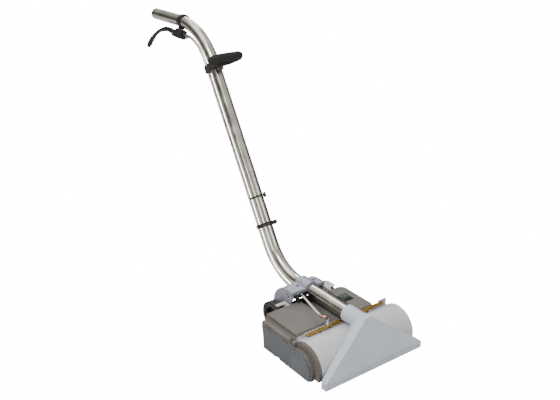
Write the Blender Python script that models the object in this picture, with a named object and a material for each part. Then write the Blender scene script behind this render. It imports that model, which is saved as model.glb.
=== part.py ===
"""Power-brush carpet cleaning wand: an S-bent vacuum lance with its shoe, on a motor-driven brush unit.

Metres, +Z up. The floor is Z = 0, the front of the shoe is Y = 0, and the lance lies in the plane X = 0.
The grip is at +Y, and +X is the side of the switch.
"""

from math import acos, atan2, ceil, cos, pi, radians, sin, sqrt, tan

import bmesh
import bpy
from mathutils import Matrix, Vector

# ---- clearances -------------------------------------------------------------------------------------------
GAP = 0.0003                # between pieces that touch
RUN = 0.0003                # round a shaft that turns

# ---- lance ------------------------------------------------------------------------------------------------
TUBE_RADIUS = 0.01905
TUBE_WALL = 0.0016
LANCE_START_Y = 0.080       # its lower end, inside the shoe's collar
LEG_Z = 0.120               # height of the straight lower leg
LOWER_BEND_Y = 0.348        # where the lower bend starts
LOWER_BEND_RADIUS = 0.165
RISE = radians(58.75)
STRAIGHT_LENGTH = 0.599
UPPER_BEND_RADIUS = 0.226
GRIP_LENGTH = 0.181

# ---- vacuum shoe ------------------------------------------------------------------------------------------
SHOE_WIDTH = 0.360
LIP_DEPTH = 0.020
LIP_HEIGHT = 0.021
APEX_HEIGHT = 0.147
APEX_LEAN = 0.036           # how far back the top of the face stands
SHOE_WALL = 0.006
SLOT_WIDTH = 0.007
COLLAR_RADIUS = 0.0255
COLLAR_END_Y = 0.1265

# ---- brush and its hood -----------------------------------------------------------------------------------
HOOD_RADIUS = 0.0665
HOOD_WALL = 0.003
HOOD_Y, HOOD_Z = 0.100, 0.027
HOOD_LEFT_X, HOOD_RIGHT_X = -0.1655, 0.174
HOOD_BACK_Y = 0.1495
LIP_TOP_Z = 0.099
LIP_DROP = 0.0095           # how much lower the lip is behind the bar than at its right end
HOOD_SKIRT_Z = 0.006
SHOE_CLEARANCE = 0.0008     # between the shoe and the hood
END_CAP_WIDTH = 0.006
BRUSH_Z = 0.0445
BRISTLE_RADIUS = 0.0435
CORE_RADIUS = 0.020
BRUSH_SHAFT_RADIUS = 0.006
BRUSH_END_GAP = 0.008       # from the bristles to the ends of the chamber
BEARING_RADIUS = 0.014
BEARING_WIDTH = 0.0057

# ---- spray bar --------------------------------------------------------------------------------------------
BAR_Y, BAR_Z = 0.1364, 0.0934      # the bar's axis at X = 0
BAR_RISE, BAR_SWING = 0.0101, 0.0135    # its slope upwards and backwards, towards the right
BAR_RADIUS = 0.0055
BAR_BORE = 0.0038
BAR_LEFT_X, BAR_RIGHT_X = -0.138, 0.149
NOZZLE_X = 0.090
NOZZLE_RADIUS = 0.0032
NOZZLE_LENGTH = 0.012
POST_X = -0.0665
POST_RADIUS = 0.0045
POST_HEIGHT = 0.020
HOSE_RADIUS = 0.003
MANIFOLD_X = (-0.058, -0.031)

# ---- motor, belt and their covers -------------------------------------------------------------------------
MOTOR_Y, MOTOR_Z = 0.225, 0.0465
MOTOR_RADIUS = 0.027
MOTOR_WALL = 0.009
MOTOR_LEFT_X, MOTOR_RIGHT_X = -0.140, 0.060
MOTOR_SHAFT_RADIUS = 0.004
ROTOR_RADIUS = 0.0172
BELT_WIDTH = 0.006
BELT_THICKNESS = 0.0015
DRIVE_PULLEY_RADIUS = 0.010
BRUSH_PULLEY_RADIUS = 0.018
BELT_X = -0.1805            # middle of the belt
HOUSING_X = (-0.1882, -0.1723)
HOUSING_PLATE = 0.0042
COVER_X = (-0.1922, -0.1885)
COVER_WALL = 0.0018
COVER_ARC_Y, COVER_ARC_Z, COVER_ARC_RADIUS = 0.106, 0.021, 0.0505
COVER_TOP_Z = 0.0750
COVER_BACK_Y = 0.276
HOUSING_EDGE = 0.0032       # how far the housing stands out past the cover

# ---- motor cover ------------------------------------------------------------------------------------------
MOTOR_COVER_WALL = 0.003
PANEL_LEFT_X, PANEL_RIGHT_X = -0.172, 0.125
PANEL_FRONT_Y, PANEL_BACK_Y = 0.1503, 0.292
LEFT_PANEL_Z, RIGHT_PANEL_Z, CHANNEL_Z, STRIP_Z = 0.095, 0.093, 0.078, 0.084
CHANNEL_X = (-0.038, 0.0635)
FLOOR_Z = (0.012, 0.015)    # the frame's floor plate
SWITCH_X, SWITCH_Y = 0.083, 0.227
SWITCH_SIZE = (0.0276, 0.0330)
BEZEL_RIM = 0.0016
ROCKER_TILT = radians(7)

# ---- bracket over the lance -------------------------------------------------------------------------------
PIVOT_Y, PIVOT_Z = 0.318, 0.066
BRACKET_FRONT_Y, BRACKET_BACK_Y = 0.2895, 0.340
BRACKET_TOP_Z = 0.132
CHEEK_WIDTH = 0.006
CHEEK_LEFT_X, CHEEK_RIGHT_X = -0.072, 0.050     # outer faces
CAP_SHELL = 0.007
BASE_HALF_WIDTH = 0.038
BASE_FRONT_Y = 0.3100
BASE_BOTTOM_Z = 0.092
SCREW_X, SCREW_Y = 0.031, 0.3165
SCREW_RADIUS = 0.003
PIVOT_BOLT_RADIUS = 0.005
EAR_WIDTH = 0.0054

# ---- wheels -----------------------------------------------------------------------------------------------
AXLE_Y, AXLE_RADIUS = 0.342, 0.006
WHEEL_RADIUS = 0.044
TYRE_THICKNESS = 0.012
WHEEL_INNER_X, WHEEL_OUTER_X = 0.086, 0.112
LUG_X = (0.076, 0.084)

# ---- solution tube ----------------------------------------------------------------------------------------
SOLUTION_RADIUS = 0.005
SOLUTION_WALL = 0.0012
SOLUTION_SPACE = 0.00197    # between it and the lance
SOLUTION_START_Y = 0.283

# ---- trigger, in a frame that hangs from the grip and is rolled to the left --------------------------------
TRIGGER_AT = -0.00797       # from the start of the grip
TRIGGER_ROLL = radians(25)
CLAMP_BAND = 0.0042
BODY_HALF_WIDTH = 0.0125
BODY_TOP, BODY_BOTTOM = 0.0275, 0.058           # distances from the grip's axis
LEVER_PIVOT = (0.027, 0.048)                    # behind the clamp, below the grip's axis
LEVER_HUB_RADIUS = 0.008
LEVER_PIN_RADIUS = 0.0025
PLUNGER_DROP = 0.040
PLUNGER_RADIUS = 0.0025

# ---- loop handle and clips, by their distance up the straight part of the lance ----------------------------
HANDLE_AT = 0.590
HANDLE_REACH = 0.090
HANDLE_HALF_WIDTH = 0.050
HANDLE_GRIP_RADIUS = 0.0130
HANDLE_REAR = 0.036         # from the lance's axis to the loop's rear bar
LOWER_CLIP_AT = 0.060
UPPER_CLIP_AT = 0.152

ROUND = 24                  # sides of a large round
SMALL = 14                  # sides of a small round

# ---- values worked out from those above --------------------------------------------------------------------
BORE_RADIUS = TUBE_RADIUS - TUBE_WALL
BELT_Y, BRUSH_Y = MOTOR_Y, HOOD_Y
BRUSH_LEFT_X = HOOD_LEFT_X + BRUSH_END_GAP
BRUSH_RIGHT_X = HOOD_RIGHT_X - BRUSH_END_GAP
CAP_LEFT_X = CHEEK_LEFT_X + CHEEK_WIDTH + GAP
CAP_RIGHT_X = CHEEK_RIGHT_X - CHEEK_WIDTH - GAP
AXLE_Z = WHEEL_RADIUS
SOLUTION_OFFSET = (TUBE_RADIUS + SOLUTION_RADIUS + SOLUTION_SPACE) / sqrt(2)   # to the left and as much behind

MATERIALS = {
    "stainless": ((0.62, 0.60, 0.56), 0.18, 1.0),
    "shoe_alloy": ((0.44, 0.47, 0.50), 0.45, 0.0),
    "hood_white": ((0.72, 0.72, 0.71), 0.45, 0.0),
    "taupe_plastic": ((0.25, 0.235, 0.215), 0.5, 0.0),
    "slate_plastic": ((0.17, 0.185, 0.20), 0.5, 0.0),
    "cast_alloy": ((0.40, 0.42, 0.46), 0.5, 0.4),
    "brass": ((0.55, 0.36, 0.10), 0.3, 1.0),
    "copper": ((0.60, 0.28, 0.16), 0.3, 1.0),
    "steel": ((0.50, 0.50, 0.50), 0.35, 1.0),
    "black_plastic": ((0.015, 0.015, 0.016), 0.5, 0.0),
    "rubber": ((0.03, 0.03, 0.03), 0.8, 0.0),
    "foam": ((0.012, 0.012, 0.012), 0.9, 0.0),
    "hose_white": ((0.62, 0.60, 0.54), 0.5, 0.0),
    "switch_green": ((0.05, 0.20, 0.08), 0.35, 0.0),
    "bristle": ((0.06, 0.07, 0.10), 0.7, 0.0),
    "frame_white": ((0.60, 0.60, 0.58), 0.5, 0.0),
}


# ---- making solids ----------------------------------------------------------------------------------------
def clear_scene():
    for old in list(bpy.data.objects):
        bpy.data.objects.remove(old, do_unlink=True)


def material(name):
    found = bpy.data.materials.get(name)
    if found:
        return found
    made = bpy.data.materials.new(name)
    made.use_nodes = True
    colour, roughness, metallic = MATERIALS[name]
    shader = made.node_tree.nodes["Principled BSDF"]
    shader.inputs["Base Color"].default_value = (*colour, 1)
    shader.inputs["Roughness"].default_value = roughness
    shader.inputs["Metallic"].default_value = metallic
    made.diffuse_color = (*colour, 1)
    return made


def solid(name, points, faces, finish, frame=None):
    """An object from points and faces, with its faces turned outwards."""
    mesh = bpy.data.meshes.new(name)
    mesh.from_pydata([tuple(point) for point in points], [], faces)
    work = bmesh.new()
    work.from_mesh(mesh)
    bmesh.ops.recalc_face_normals(work, faces=work.faces)
    work.to_mesh(mesh)
    work.free()
    if frame is not None:
        mesh.transform(frame)
    mesh.materials.append(material(finish))
    mesh.shade_smooth()
    mesh.set_sharp_from_angle(angle=radians(40))
    made = bpy.data.objects.new(name, mesh)
    bpy.context.scene.collection.objects.link(made)
    return made


def prism(name, outline, axis, low, high, finish, frame=None):
    """An outline drawn across an axis and extruded along it: (y, z) for X, (x, z) for Y, (x, y) for Z."""
    def point(flat, along):
        first, second = flat
        return {"X": (along, first, second), "Y": (first, along, second), "Z": (first, second, along)}[axis]

    count = len(outline)
    points = [point(flat, low) for flat in outline] + [point(flat, high) for flat in outline]
    faces = [tuple(range(count)), tuple(range(2 * count - 1, count - 1, -1))]
    for i in range(count):
        j = (i + 1) % count
        faces.append((i, j, count + j, count + i))
    return solid(name, points, faces, finish, frame)


def box(name, low, high, finish, frame=None):
    outline = [(low[0], low[1]), (high[0], low[1]), (high[0], high[1]), (low[0], high[1])]
    return prism(name, outline, "Z", low[2], high[2], finish, frame)


def ring_at(centre, across, up, radius, sides):
    """One ring of points in the plane of two unit vectors."""
    turn = 2 * pi / sides
    return [centre + radius * (cos(turn * k) * across + sin(turn * k) * up) for k in range(sides)]


def turned(name, profile, axis, centre, finish, sides=ROUND, frame=None):
    """A profile of (distance, radius) pairs turned about an axis. A radius of 0 closes on the axis, and a
    profile that stays off the axis is closed on itself as a ring."""
    along = {"X": Vector((1, 0, 0)), "Y": Vector((0, 1, 0)), "Z": Vector((0, 0, 1))}[axis]
    across = Vector((0, 1, 0)) if axis == "X" else Vector((1, 0, 0))
    up = along.cross(across)
    points, rings = [], []
    for distance, radius in profile:
        middle = Vector(centre) + distance * along
        ring = [middle] if radius == 0 else ring_at(middle, across, up, radius, sides)
        rings.append(range(len(points), len(points) + len(ring)))
        points += ring
    solid_of_turning = profile[0][1] == 0
    pairs = list(zip(rings, rings[1:]))
    if not solid_of_turning:
        pairs.append((rings[-1], rings[0]))
    faces = []
    for one, two in pairs:
        for k in range(sides):
            n = (k + 1) % sides
            if len(one) == 1:
                faces.append((one[0], two[k], two[n]))
            elif len(two) == 1:
                faces.append((one[k], one[n], two[0]))
            else:
                faces.append((one[k], one[n], two[n], two[k]))
    return solid(name, points, faces, finish, frame)


def cylinder(name, axis, centre, low, high, radius, finish, sides=ROUND, frame=None):
    profile = [(low, 0), (low, radius), (high, radius), (high, 0)]
    return turned(name, profile, axis, centre, finish, sides, frame)


def ring(name, axis, centre, low, high, inner, outer, finish, sides=ROUND, frame=None, edge=0.0):
    profile = [(low, inner), (low, outer - edge), (low + edge, outer), (high - edge, outer),
               (high, outer - edge), (high, inner)]
    if edge == 0:
        profile = [(low, inner), (low, outer), (high, outer), (high, inner)]
    return turned(name, profile, axis, centre, finish, sides, frame)


def tangents(points):
    """Directions along a run of points, each halfway between its neighbours' directions."""
    steps = [(b - a).normalized() for a, b in zip(points, points[1:])]
    return [steps[0]] + [(a + b).normalized() for a, b in zip(steps, steps[1:])] + [steps[-1]]


def swept(name, points, radius, finish, bore=0.0, sides=ROUND, across=Vector((1, 0, 0)), frame=None):
    """A round rod along the points, or a tube if it has a bore."""
    vertices, outer, inner = [], [], []
    for point, along in zip(points, tangents(points)):
        side = (across - across.dot(along) * along).normalized()
        up = along.cross(side)
        for radius_here, rings in ((radius, outer), (bore, inner)):
            if radius_here:
                rings.append(range(len(vertices), len(vertices) + sides))
                vertices += ring_at(point, side, up, radius_here, sides)
    faces = []

    def skin(one, two):
        for k in range(sides):
            n = (k + 1) % sides
            faces.append((one[k], one[n], two[n], two[k]))

    for rings in (outer, inner):
        for one, two in zip(rings, rings[1:]):
            skin(one, two)
    if bore:
        skin(outer[0], inner[0])
        skin(outer[-1], inner[-1])
    else:
        faces += [tuple(outer[0]), tuple(outer[-1])]
    return solid(name, vertices, faces, finish, frame)


def hull(name, points, finish, frame=None):
    """The tightest solid with flat faces round some points."""
    work = bmesh.new()
    for point in points:
        work.verts.new(point)
    made = bmesh.ops.convex_hull(work, input=work.verts)
    spare = [item for item in made["geom_interior"] + made["geom_unused"] if isinstance(item, bmesh.types.BMVert)]
    bmesh.ops.delete(work, geom=list(set(spare)), context="VERTS")
    bmesh.ops.dissolve_limit(work, angle_limit=radians(0.5), verts=work.verts, edges=work.edges)
    work.verts.ensure_lookup_table()
    work.verts.index_update()
    vertices = [vertex.co.copy() for vertex in work.verts]
    faces = [tuple(vertex.index for vertex in face.verts) for face in work.faces]
    work.free()
    return solid(name, vertices, faces, finish, frame)


def combine(target, tool, operation):
    """Adds a tool to a solid or cuts it away. The tool stays in the file as a hidden helper."""
    tool.name = f"{target.name}_tool_{len(target.modifiers) + 1}"
    tool.hide_render = True
    tool.display_type = "WIRE"
    step = target.modifiers.new(f"{operation.lower()}_{len(target.modifiers) + 1}", "BOOLEAN")
    step.operation = operation
    step.object = tool
    step.solver = "EXACT"


def cut(target, *tools):
    for tool in tools:
        combine(target, tool, "DIFFERENCE")
    return target


def add(target, *tools):
    for tool in tools:
        combine(target, tool, "UNION")
    return target


def round_edges(target, width, segments=2, angle=40):
    bevel = target.modifiers.new("round_edges", "BEVEL")
    bevel.width = width
    bevel.segments = segments
    bevel.limit_method = "ANGLE"
    bevel.angle_limit = radians(angle)
    return target


def arc(centre, radius, start, end, steps):
    """Points on an arc, from one angle in degrees to another."""
    return [(centre[0] + radius * cos(radians(start + (end - start) * k / steps)),
             centre[1] + radius * sin(radians(start + (end - start) * k / steps))) for k in range(steps + 1)]


def rounded_rectangle(low, high, radius, steps=3):
    corners = [((high[0] - radius, low[1] + radius), -90), ((high[0] - radius, high[1] - radius), 0),
               ((low[0] + radius, high[1] - radius), 90), ((low[0] + radius, low[1] + radius), 180)]
    return [point for centre, start in corners for point in arc(centre, radius, start, start + 90, steps)]


# ---- the lance's centreline -------------------------------------------------------------------------------
def bend(start, direction, radius, turn, steps):
    """Points of a bend in the plane X = 0, after its start. A positive turn is towards +Z."""
    sign = 1 if turn > 0 else -1
    middle_y = start.y - sign * radius * sin(direction)
    middle_z = start.z + sign * radius * cos(direction)
    points = []
    for k in range(1, steps + 1):
        angle = direction + turn * k / steps
        points.append(Vector((0, middle_y + sign * radius * sin(angle), middle_z - sign * radius * cos(angle))))
    return points


LOWER_BEND_START = Vector((0, LOWER_BEND_Y, LEG_Z))
LOWER_BEND = [LOWER_BEND_START] + bend(LOWER_BEND_START, 0, LOWER_BEND_RADIUS, RISE, 8)
UP_THE_LANCE = Vector((0, cos(RISE), sin(RISE)))
BEHIND_THE_LANCE = Vector((0, sin(RISE), -cos(RISE)))
UPPER_BEND_START = LOWER_BEND[-1] + STRAIGHT_LENGTH * UP_THE_LANCE
UPPER_BEND = [UPPER_BEND_START] + bend(UPPER_BEND_START, RISE, UPPER_BEND_RADIUS, -RISE, 9)
GRIP_START = UPPER_BEND[-1]
GRIP_Z = GRIP_START.z
GRIP_END_Y = GRIP_START.y + GRIP_LENGTH


def lance_points(start_y, end_y):
    after_bend = GRIP_START + Vector((0, 0.001, 0))
    return [Vector((0, start_y, LEG_Z))] + LOWER_BEND + UPPER_BEND + [after_bend, Vector((0, end_y, GRIP_Z))]


def lance_room(name):
    """What the lance fills, with a gap round it: the cutter of everything that clamps it."""
    return swept(name, lance_points(LANCE_START_Y, GRIP_END_Y + 0.01), TUBE_RADIUS + GAP, "steel")


def lance_frame(distance):
    """X across, Y behind and Z up the straight part of the lance, from a point on its axis."""
    place = LOWER_BEND[-1] + distance * UP_THE_LANCE
    axes = Matrix((Vector((1, 0, 0)), BEHIND_THE_LANCE, UP_THE_LANCE)).transposed()
    return Matrix.Translation(place) @ axes.to_4x4()


def trigger_frame():
    """X round the grip, Y along it to the rear, and -Z away from its axis."""
    return Matrix.Translation((0, GRIP_START.y + TRIGGER_AT, GRIP_Z)) @ Matrix.Rotation(TRIGGER_ROLL, 4, "Y")


# ---- wand: lance, shoe and bracket ------------------------------------------------------------------------
def wand_tube():
    return swept("wand_tube", lance_points(LANCE_START_Y, GRIP_END_Y), TUBE_RADIUS, "stainless", BORE_RADIUS)


def vacuum_shoe():
    half = SHOE_WIDTH / 2
    neck = COLLAR_RADIUS - 0.0015
    neck_back_y = COLLAR_END_Y - 0.034
    collar_bottom_z = LEG_Z - COLLAR_RADIUS
    corners = []
    for side in (-1, 1):
        corners += [(side * half, 0, 0), (side * half, LIP_DEPTH, 0), (side * half, 0, LIP_HEIGHT),
                    (side * half, LIP_DEPTH, LIP_HEIGHT), (side * 0.010, APEX_LEAN, APEX_HEIGHT),
                    (side * 0.010, APEX_LEAN + 0.030, APEX_HEIGHT - 0.002),
                    (side * neck, neck_back_y, collar_bottom_z + 0.004)]
    shoe = hull("vacuum_shoe", corners, "shoe_alloy")
    collar_start = APEX_LEAN + 0.008
    collar = turned("collar", [(collar_start, 0), (collar_start, COLLAR_RADIUS),
                               (COLLAR_END_Y - 0.0015, COLLAR_RADIUS), (COLLAR_END_Y, COLLAR_RADIUS - 0.0015),
                               (COLLAR_END_Y, 0)], "Y", (0, 0, LEG_Z), "shoe_alloy")
    add(shoe, collar)
    hood_room = cylinder("hood_room", "X", (0, HOOD_Y, HOOD_Z), -SHOE_WIDTH, SHOE_WIDTH,
                         HOOD_RADIUS + SHOE_CLEARANCE, "steel", 48)
    slot_half = half - 2.3 * SHOE_WALL
    slot_front = SHOE_WALL
    slot_back = SHOE_WALL + SLOT_WIDTH
    funnel_points = []
    for side in (-1, 1):
        funnel_points += [(side * slot_half, slot_front, -0.002), (side * slot_half, slot_back, -0.002),
                          (side * slot_half, slot_front, 0.010), (side * slot_half, slot_back, 0.010),
                          (side * 0.012, APEX_LEAN - SHOE_WALL, LEG_Z - 0.014),
                          (side * 0.012, APEX_LEAN + 0.022, LEG_Z - 0.014),
                          (side * 0.012, APEX_LEAN, LEG_Z + 0.005), (side * 0.012, APEX_LEAN + 0.026, LEG_Z + 0.005)]
    funnel = hull("funnel", funnel_points, "steel")
    passage = cylinder("passage", "Y", (0, 0, LEG_Z), APEX_LEAN + 0.006, LANCE_START_Y + 0.001, BORE_RADIUS, "steel")
    socket = cylinder("socket", "Y", (0, 0, LEG_Z), LANCE_START_Y - GAP, COLLAR_END_Y + 0.001,
                      TUBE_RADIUS + GAP, "steel")
    return cut(shoe, hood_room, funnel, passage, socket)


def cheek_outline():
    """The bracket's side plate, in (y, z): an arch about the pivot, with a foot round the pivot's bolt."""
    radius = BRACKET_TOP_Z - PIVOT_Z
    centre = (PIVOT_Y, PIVOT_Z)
    clear_y, clear_z = PANEL_BACK_Y + 0.0050, LEFT_PANEL_Z + 0.005
    outline = arc(centre, radius, 90, -7, 12)
    outline += [(PIVOT_Y + 0.026, PIVOT_Z - 0.008), (PIVOT_Y, PIVOT_Z - 0.012),
                (PIVOT_Y - 0.014, PIVOT_Z - 0.010), (clear_y, PIVOT_Z + 0.004), (clear_y, clear_z),
                (BRACKET_FRONT_Y, BRACKET_TOP_Z - 0.021), (BRACKET_FRONT_Y, BRACKET_TOP_Z)]
    return outline


def cheek(name, outer_x, inner_x):
    plate = prism(name, cheek_outline(), "X", min(outer_x, inner_x), max(outer_x, inner_x), "cast_alloy")
    hole = cylinder("hole", "X", (0, PIVOT_Y, PIVOT_Z), -0.2, 0.2, PIVOT_BOLT_RADIUS + RUN, "steel", SMALL)
    return cut(plate, hole)


def cheek_with_marks():
    """The left cheek has two blind screw holes near its front edge."""
    plate = cheek("cheek_left", CHEEK_LEFT_X, CHEEK_LEFT_X + CHEEK_WIDTH)
    for back, drop in ((0.0238, 0.0139), (0.0183, 0.0206)):
        cut(plate, cylinder("mark", "X", (0, BRACKET_FRONT_Y + back, BRACKET_TOP_Z - drop),
                            CHEEK_LEFT_X - 0.001, CHEEK_LEFT_X + 0.003, 0.0028, "steel", 12))
    return plate


def clamp_cap():
    """The strap over the lance: two flat wings and a hump."""
    outer = TUBE_RADIUS + CAP_SHELL
    meet = acos((BRACKET_TOP_Z - LEG_Z) / outer)
    hump = arc((0, LEG_Z), outer, 90 - meet * 180 / pi, 90 + meet * 180 / pi, 10)
    outline = [(CAP_RIGHT_X, LEG_Z + GAP), (CAP_RIGHT_X, BRACKET_TOP_Z)] + hump
    outline += [(CAP_LEFT_X, BRACKET_TOP_Z), (CAP_LEFT_X, LEG_Z + GAP)]
    cap = prism("clamp_cap", outline, "Y", BRACKET_FRONT_Y, BRACKET_BACK_Y, "cast_alloy")
    round_edges(cap, 0.0012, 2, 50)
    cut(cap, lance_room("lance_room"))
    for x in (-SCREW_X, SCREW_X):
        centre = (x, SCREW_Y, 0)
        room = turned("room", [(LEG_Z - 0.002, 0), (LEG_Z - 0.002, SCREW_RADIUS + GAP),
                               (BRACKET_TOP_Z - 0.005, SCREW_RADIUS + GAP), (BRACKET_TOP_Z - 0.005, 0.0053),
                               (BRACKET_TOP_Z + 0.002, 0.0053), (BRACKET_TOP_Z + 0.002, 0)],
                      "Z", centre, "steel", SMALL)
        cut(cap, room)
    return cap


def clamp_base():
    base = box("clamp_base", (-BASE_HALF_WIDTH, BASE_FRONT_Y, BASE_BOTTOM_Z),
               (BASE_HALF_WIDTH, BRACKET_BACK_Y - 0.004, LEG_Z - GAP), "cast_alloy")
    cut(base, lance_room("lance_room"))
    cut(base, swept("solution_room", solution_points(), SOLUTION_RADIUS + GAP, "steel", sides=SMALL))
    for x in (-SCREW_X, SCREW_X):
        centre = (x, SCREW_Y, 0)
        cut(base, cylinder("screw_room", "Z", centre, BASE_BOTTOM_Z + 0.006, LEG_Z + 0.001,
                           SCREW_RADIUS + GAP, "steel", SMALL))
    return base


def cap_screw(name, x):
    """A socket-head screw through a wing of the cap into the base."""
    centre = (x, SCREW_Y, 0)
    top, head = BRACKET_TOP_Z - 0.0008, 0.0038
    profile = [(BASE_BOTTOM_Z + 0.008, 0), (BASE_BOTTOM_Z + 0.008, SCREW_RADIUS), (top - head, SCREW_RADIUS),
               (top - head, 0.0048), (top, 0.0048), (top, 0.0025), (top - 0.0025, 0.0025), (top - 0.0025, 0)]
    return turned(name, profile, "Z", centre, "steel", SMALL)


# ---- wand: solution tube and clips ------------------------------------------------------------------------
def beside(point, back):
    """The point beside the lance where the solution tube runs. back is the direction behind the lance there."""
    return point + Vector((-SOLUTION_OFFSET, 0, 0)) + SOLUTION_OFFSET * back


def valve_port():
    """Where the solution tube enters the valve's outlet."""
    return trigger_frame() @ Vector((0, -0.033, -0.042))


def solution_points():
    """Beside the lance from the bracket to the handle, then in one slow curve to the valve."""
    points = [beside(Vector((0, SOLUTION_START_Y, LEG_Z)), Vector((0, 0, -1)))]
    steps = len(LOWER_BEND) - 1
    for k, point in enumerate(LOWER_BEND):
        angle = RISE * k / steps
        points.append(beside(point, Vector((0, sin(angle), -cos(angle)))))
    port = valve_port()
    end = port - Vector((0, 0.010, 0))
    start = beside(UPPER_BEND_START, BEHIND_THE_LANCE)
    leave = start + 0.075 * UP_THE_LANCE
    arrive = end - Vector((0, 0.050, 0))
    curve_steps = 10
    for k in range(curve_steps + 1):
        t = k / curve_steps
        points.append((1 - t) ** 3 * start + 3 * t * (1 - t) ** 2 * leave + 3 * t * t * (1 - t) * arrive
                      + t ** 3 * end)
    return points + [port]


def solution_tube():
    return swept("solution_tube", solution_points(), SOLUTION_RADIUS, "stainless",
                 SOLUTION_RADIUS - SOLUTION_WALL, 10)


def lance_band(name, distance, width, shell, finish):
    """A band round the lance at a distance up its straight part."""
    return ring(name, "Z", (0, 0, 0), -width / 2, width / 2, TUBE_RADIUS + GAP, TUBE_RADIUS + GAP + shell,
                finish, ROUND, lance_frame(distance))


def solution_lobe(target, distance, width, shell):
    """Adds an eye for the solution tube to a band on the lance."""
    place = (-SOLUTION_OFFSET, SOLUTION_OFFSET, 0)
    frame = lance_frame(distance)
    half = width / 2 - 0.0009
    add(target, cylinder("lobe", "Z", place, -half, half, SOLUTION_RADIUS + GAP + shell, "steel", SMALL, frame))
    cut(target, cylinder("lobe_bore", "Z", place, -width, width, SOLUTION_RADIUS + GAP, "steel", SMALL, frame))
    cut(target, cylinder("lance_bore", "Z", (0, 0, 0), -width, width, TUBE_RADIUS + GAP, "steel", ROUND, frame))
    return target


def lower_clip():
    """A band that ties the solution tube to the lance, with its tightening knob at the front right."""
    width = 0.013
    clip = lance_band("lower_clip", LOWER_CLIP_AT, width, 0.0026, "black_plastic")
    frame = lance_frame(LOWER_CLIP_AT) @ Matrix.Rotation(radians(-25), 4, "Z")
    start = TUBE_RADIUS + 0.001
    knob = turned("knob", [(start, 0), (start, 0.0055), (start + 0.006, 0.0075), (start + 0.013, 0.0075),
                           (start + 0.0155, 0.005), (start + 0.0155, 0)], "X", (0, 0, 0), "black_plastic", SMALL, frame)
    add(clip, knob)
    return solution_lobe(clip, LOWER_CLIP_AT, width, 0.003)


def upper_clip():
    """A narrow band with a hook at the front right, for the hose or a lead."""
    clip = lance_band("upper_clip", UPPER_CLIP_AT, 0.006, 0.0012, "black_plastic")
    frame = lance_frame(UPPER_CLIP_AT) @ Matrix.Rotation(radians(-30), 4, "Z")
    hook = box("hook", (TUBE_RADIUS + 0.0006, -0.005, -0.009), (TUBE_RADIUS + 0.010, 0.005, 0.009),
               "black_plastic", frame)
    round_edges(hook, 0.003)
    add(clip, hook)
    return clip


# ---- trigger and solution valve ---------------------------------------------------------------------------
def trigger_clamp():
    """The ring round the grip, with the lug that carries the valve."""
    frame = trigger_frame()
    clamp = ring("trigger_clamp", "Y", (0, 0, 0), -0.007, 0.007, TUBE_RADIUS - 0.002,
                 TUBE_RADIUS + GAP + CLAMP_BAND, "black_plastic", ROUND, frame)
    lug = box("lug", (-0.008, -0.007, -(BODY_TOP - GAP)), (0.008, 0.007, -(TUBE_RADIUS + 0.001)), "steel", frame)
    add(clamp, lug)
    cut(clamp, lance_room("lance_room"))
    return clamp


def valve_body():
    """A block under the ring, with two ears for the lever and a bore for the plunger."""
    frame = trigger_frame()
    pivot_y, pivot_drop = LEVER_PIVOT
    body = box("valve_body", (-BODY_HALF_WIDTH, -0.028, -BODY_BOTTOM), (BODY_HALF_WIDTH, 0.0145, -BODY_TOP), "black_plastic", frame)
    round_edges(body, 0.0025)
    for side in (-1, 1):
        inner, outer = 0.0068, 0.0101
        outline = [(pivot_y, -pivot_drop + 0.0075), (pivot_y + 0.0075, -pivot_drop),
                   (pivot_y, -pivot_drop - 0.0075), (0.005, -BODY_BOTTOM + 0.002), (0.005, -BODY_TOP - 0.003)]
        low, high = (inner, outer) if side > 0 else (-outer, -inner)
        add(body, prism("ear", outline, "X", low, high, "steel", frame))
    cut(body, cylinder("pin_room", "X", (0, pivot_y, -pivot_drop), -0.02, 0.02, LEVER_PIN_RADIUS + GAP, "steel",
                       SMALL, frame))
    cut(body, cylinder("plunger_room", "Y", (0, 0, -PLUNGER_DROP), -0.006, 0.020, PLUNGER_RADIUS + RUN, "steel",
                       SMALL, frame))
    return body


def lever_section(centre, along, half_width, half_thickness):
    """An eight-sided section of the lever, flat across the thickness."""
    across = Vector((1, 0, 0))
    up = along.cross(across)
    corner = 0.55
    signs = [(1, corner), (corner, 1), (-corner, 1), (-1, corner), (-1, -corner), (-corner, -1), (corner, -1),
             (1, -corner)]
    return [centre + half_width * a * across + half_thickness * b * up for a, b in signs]


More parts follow.
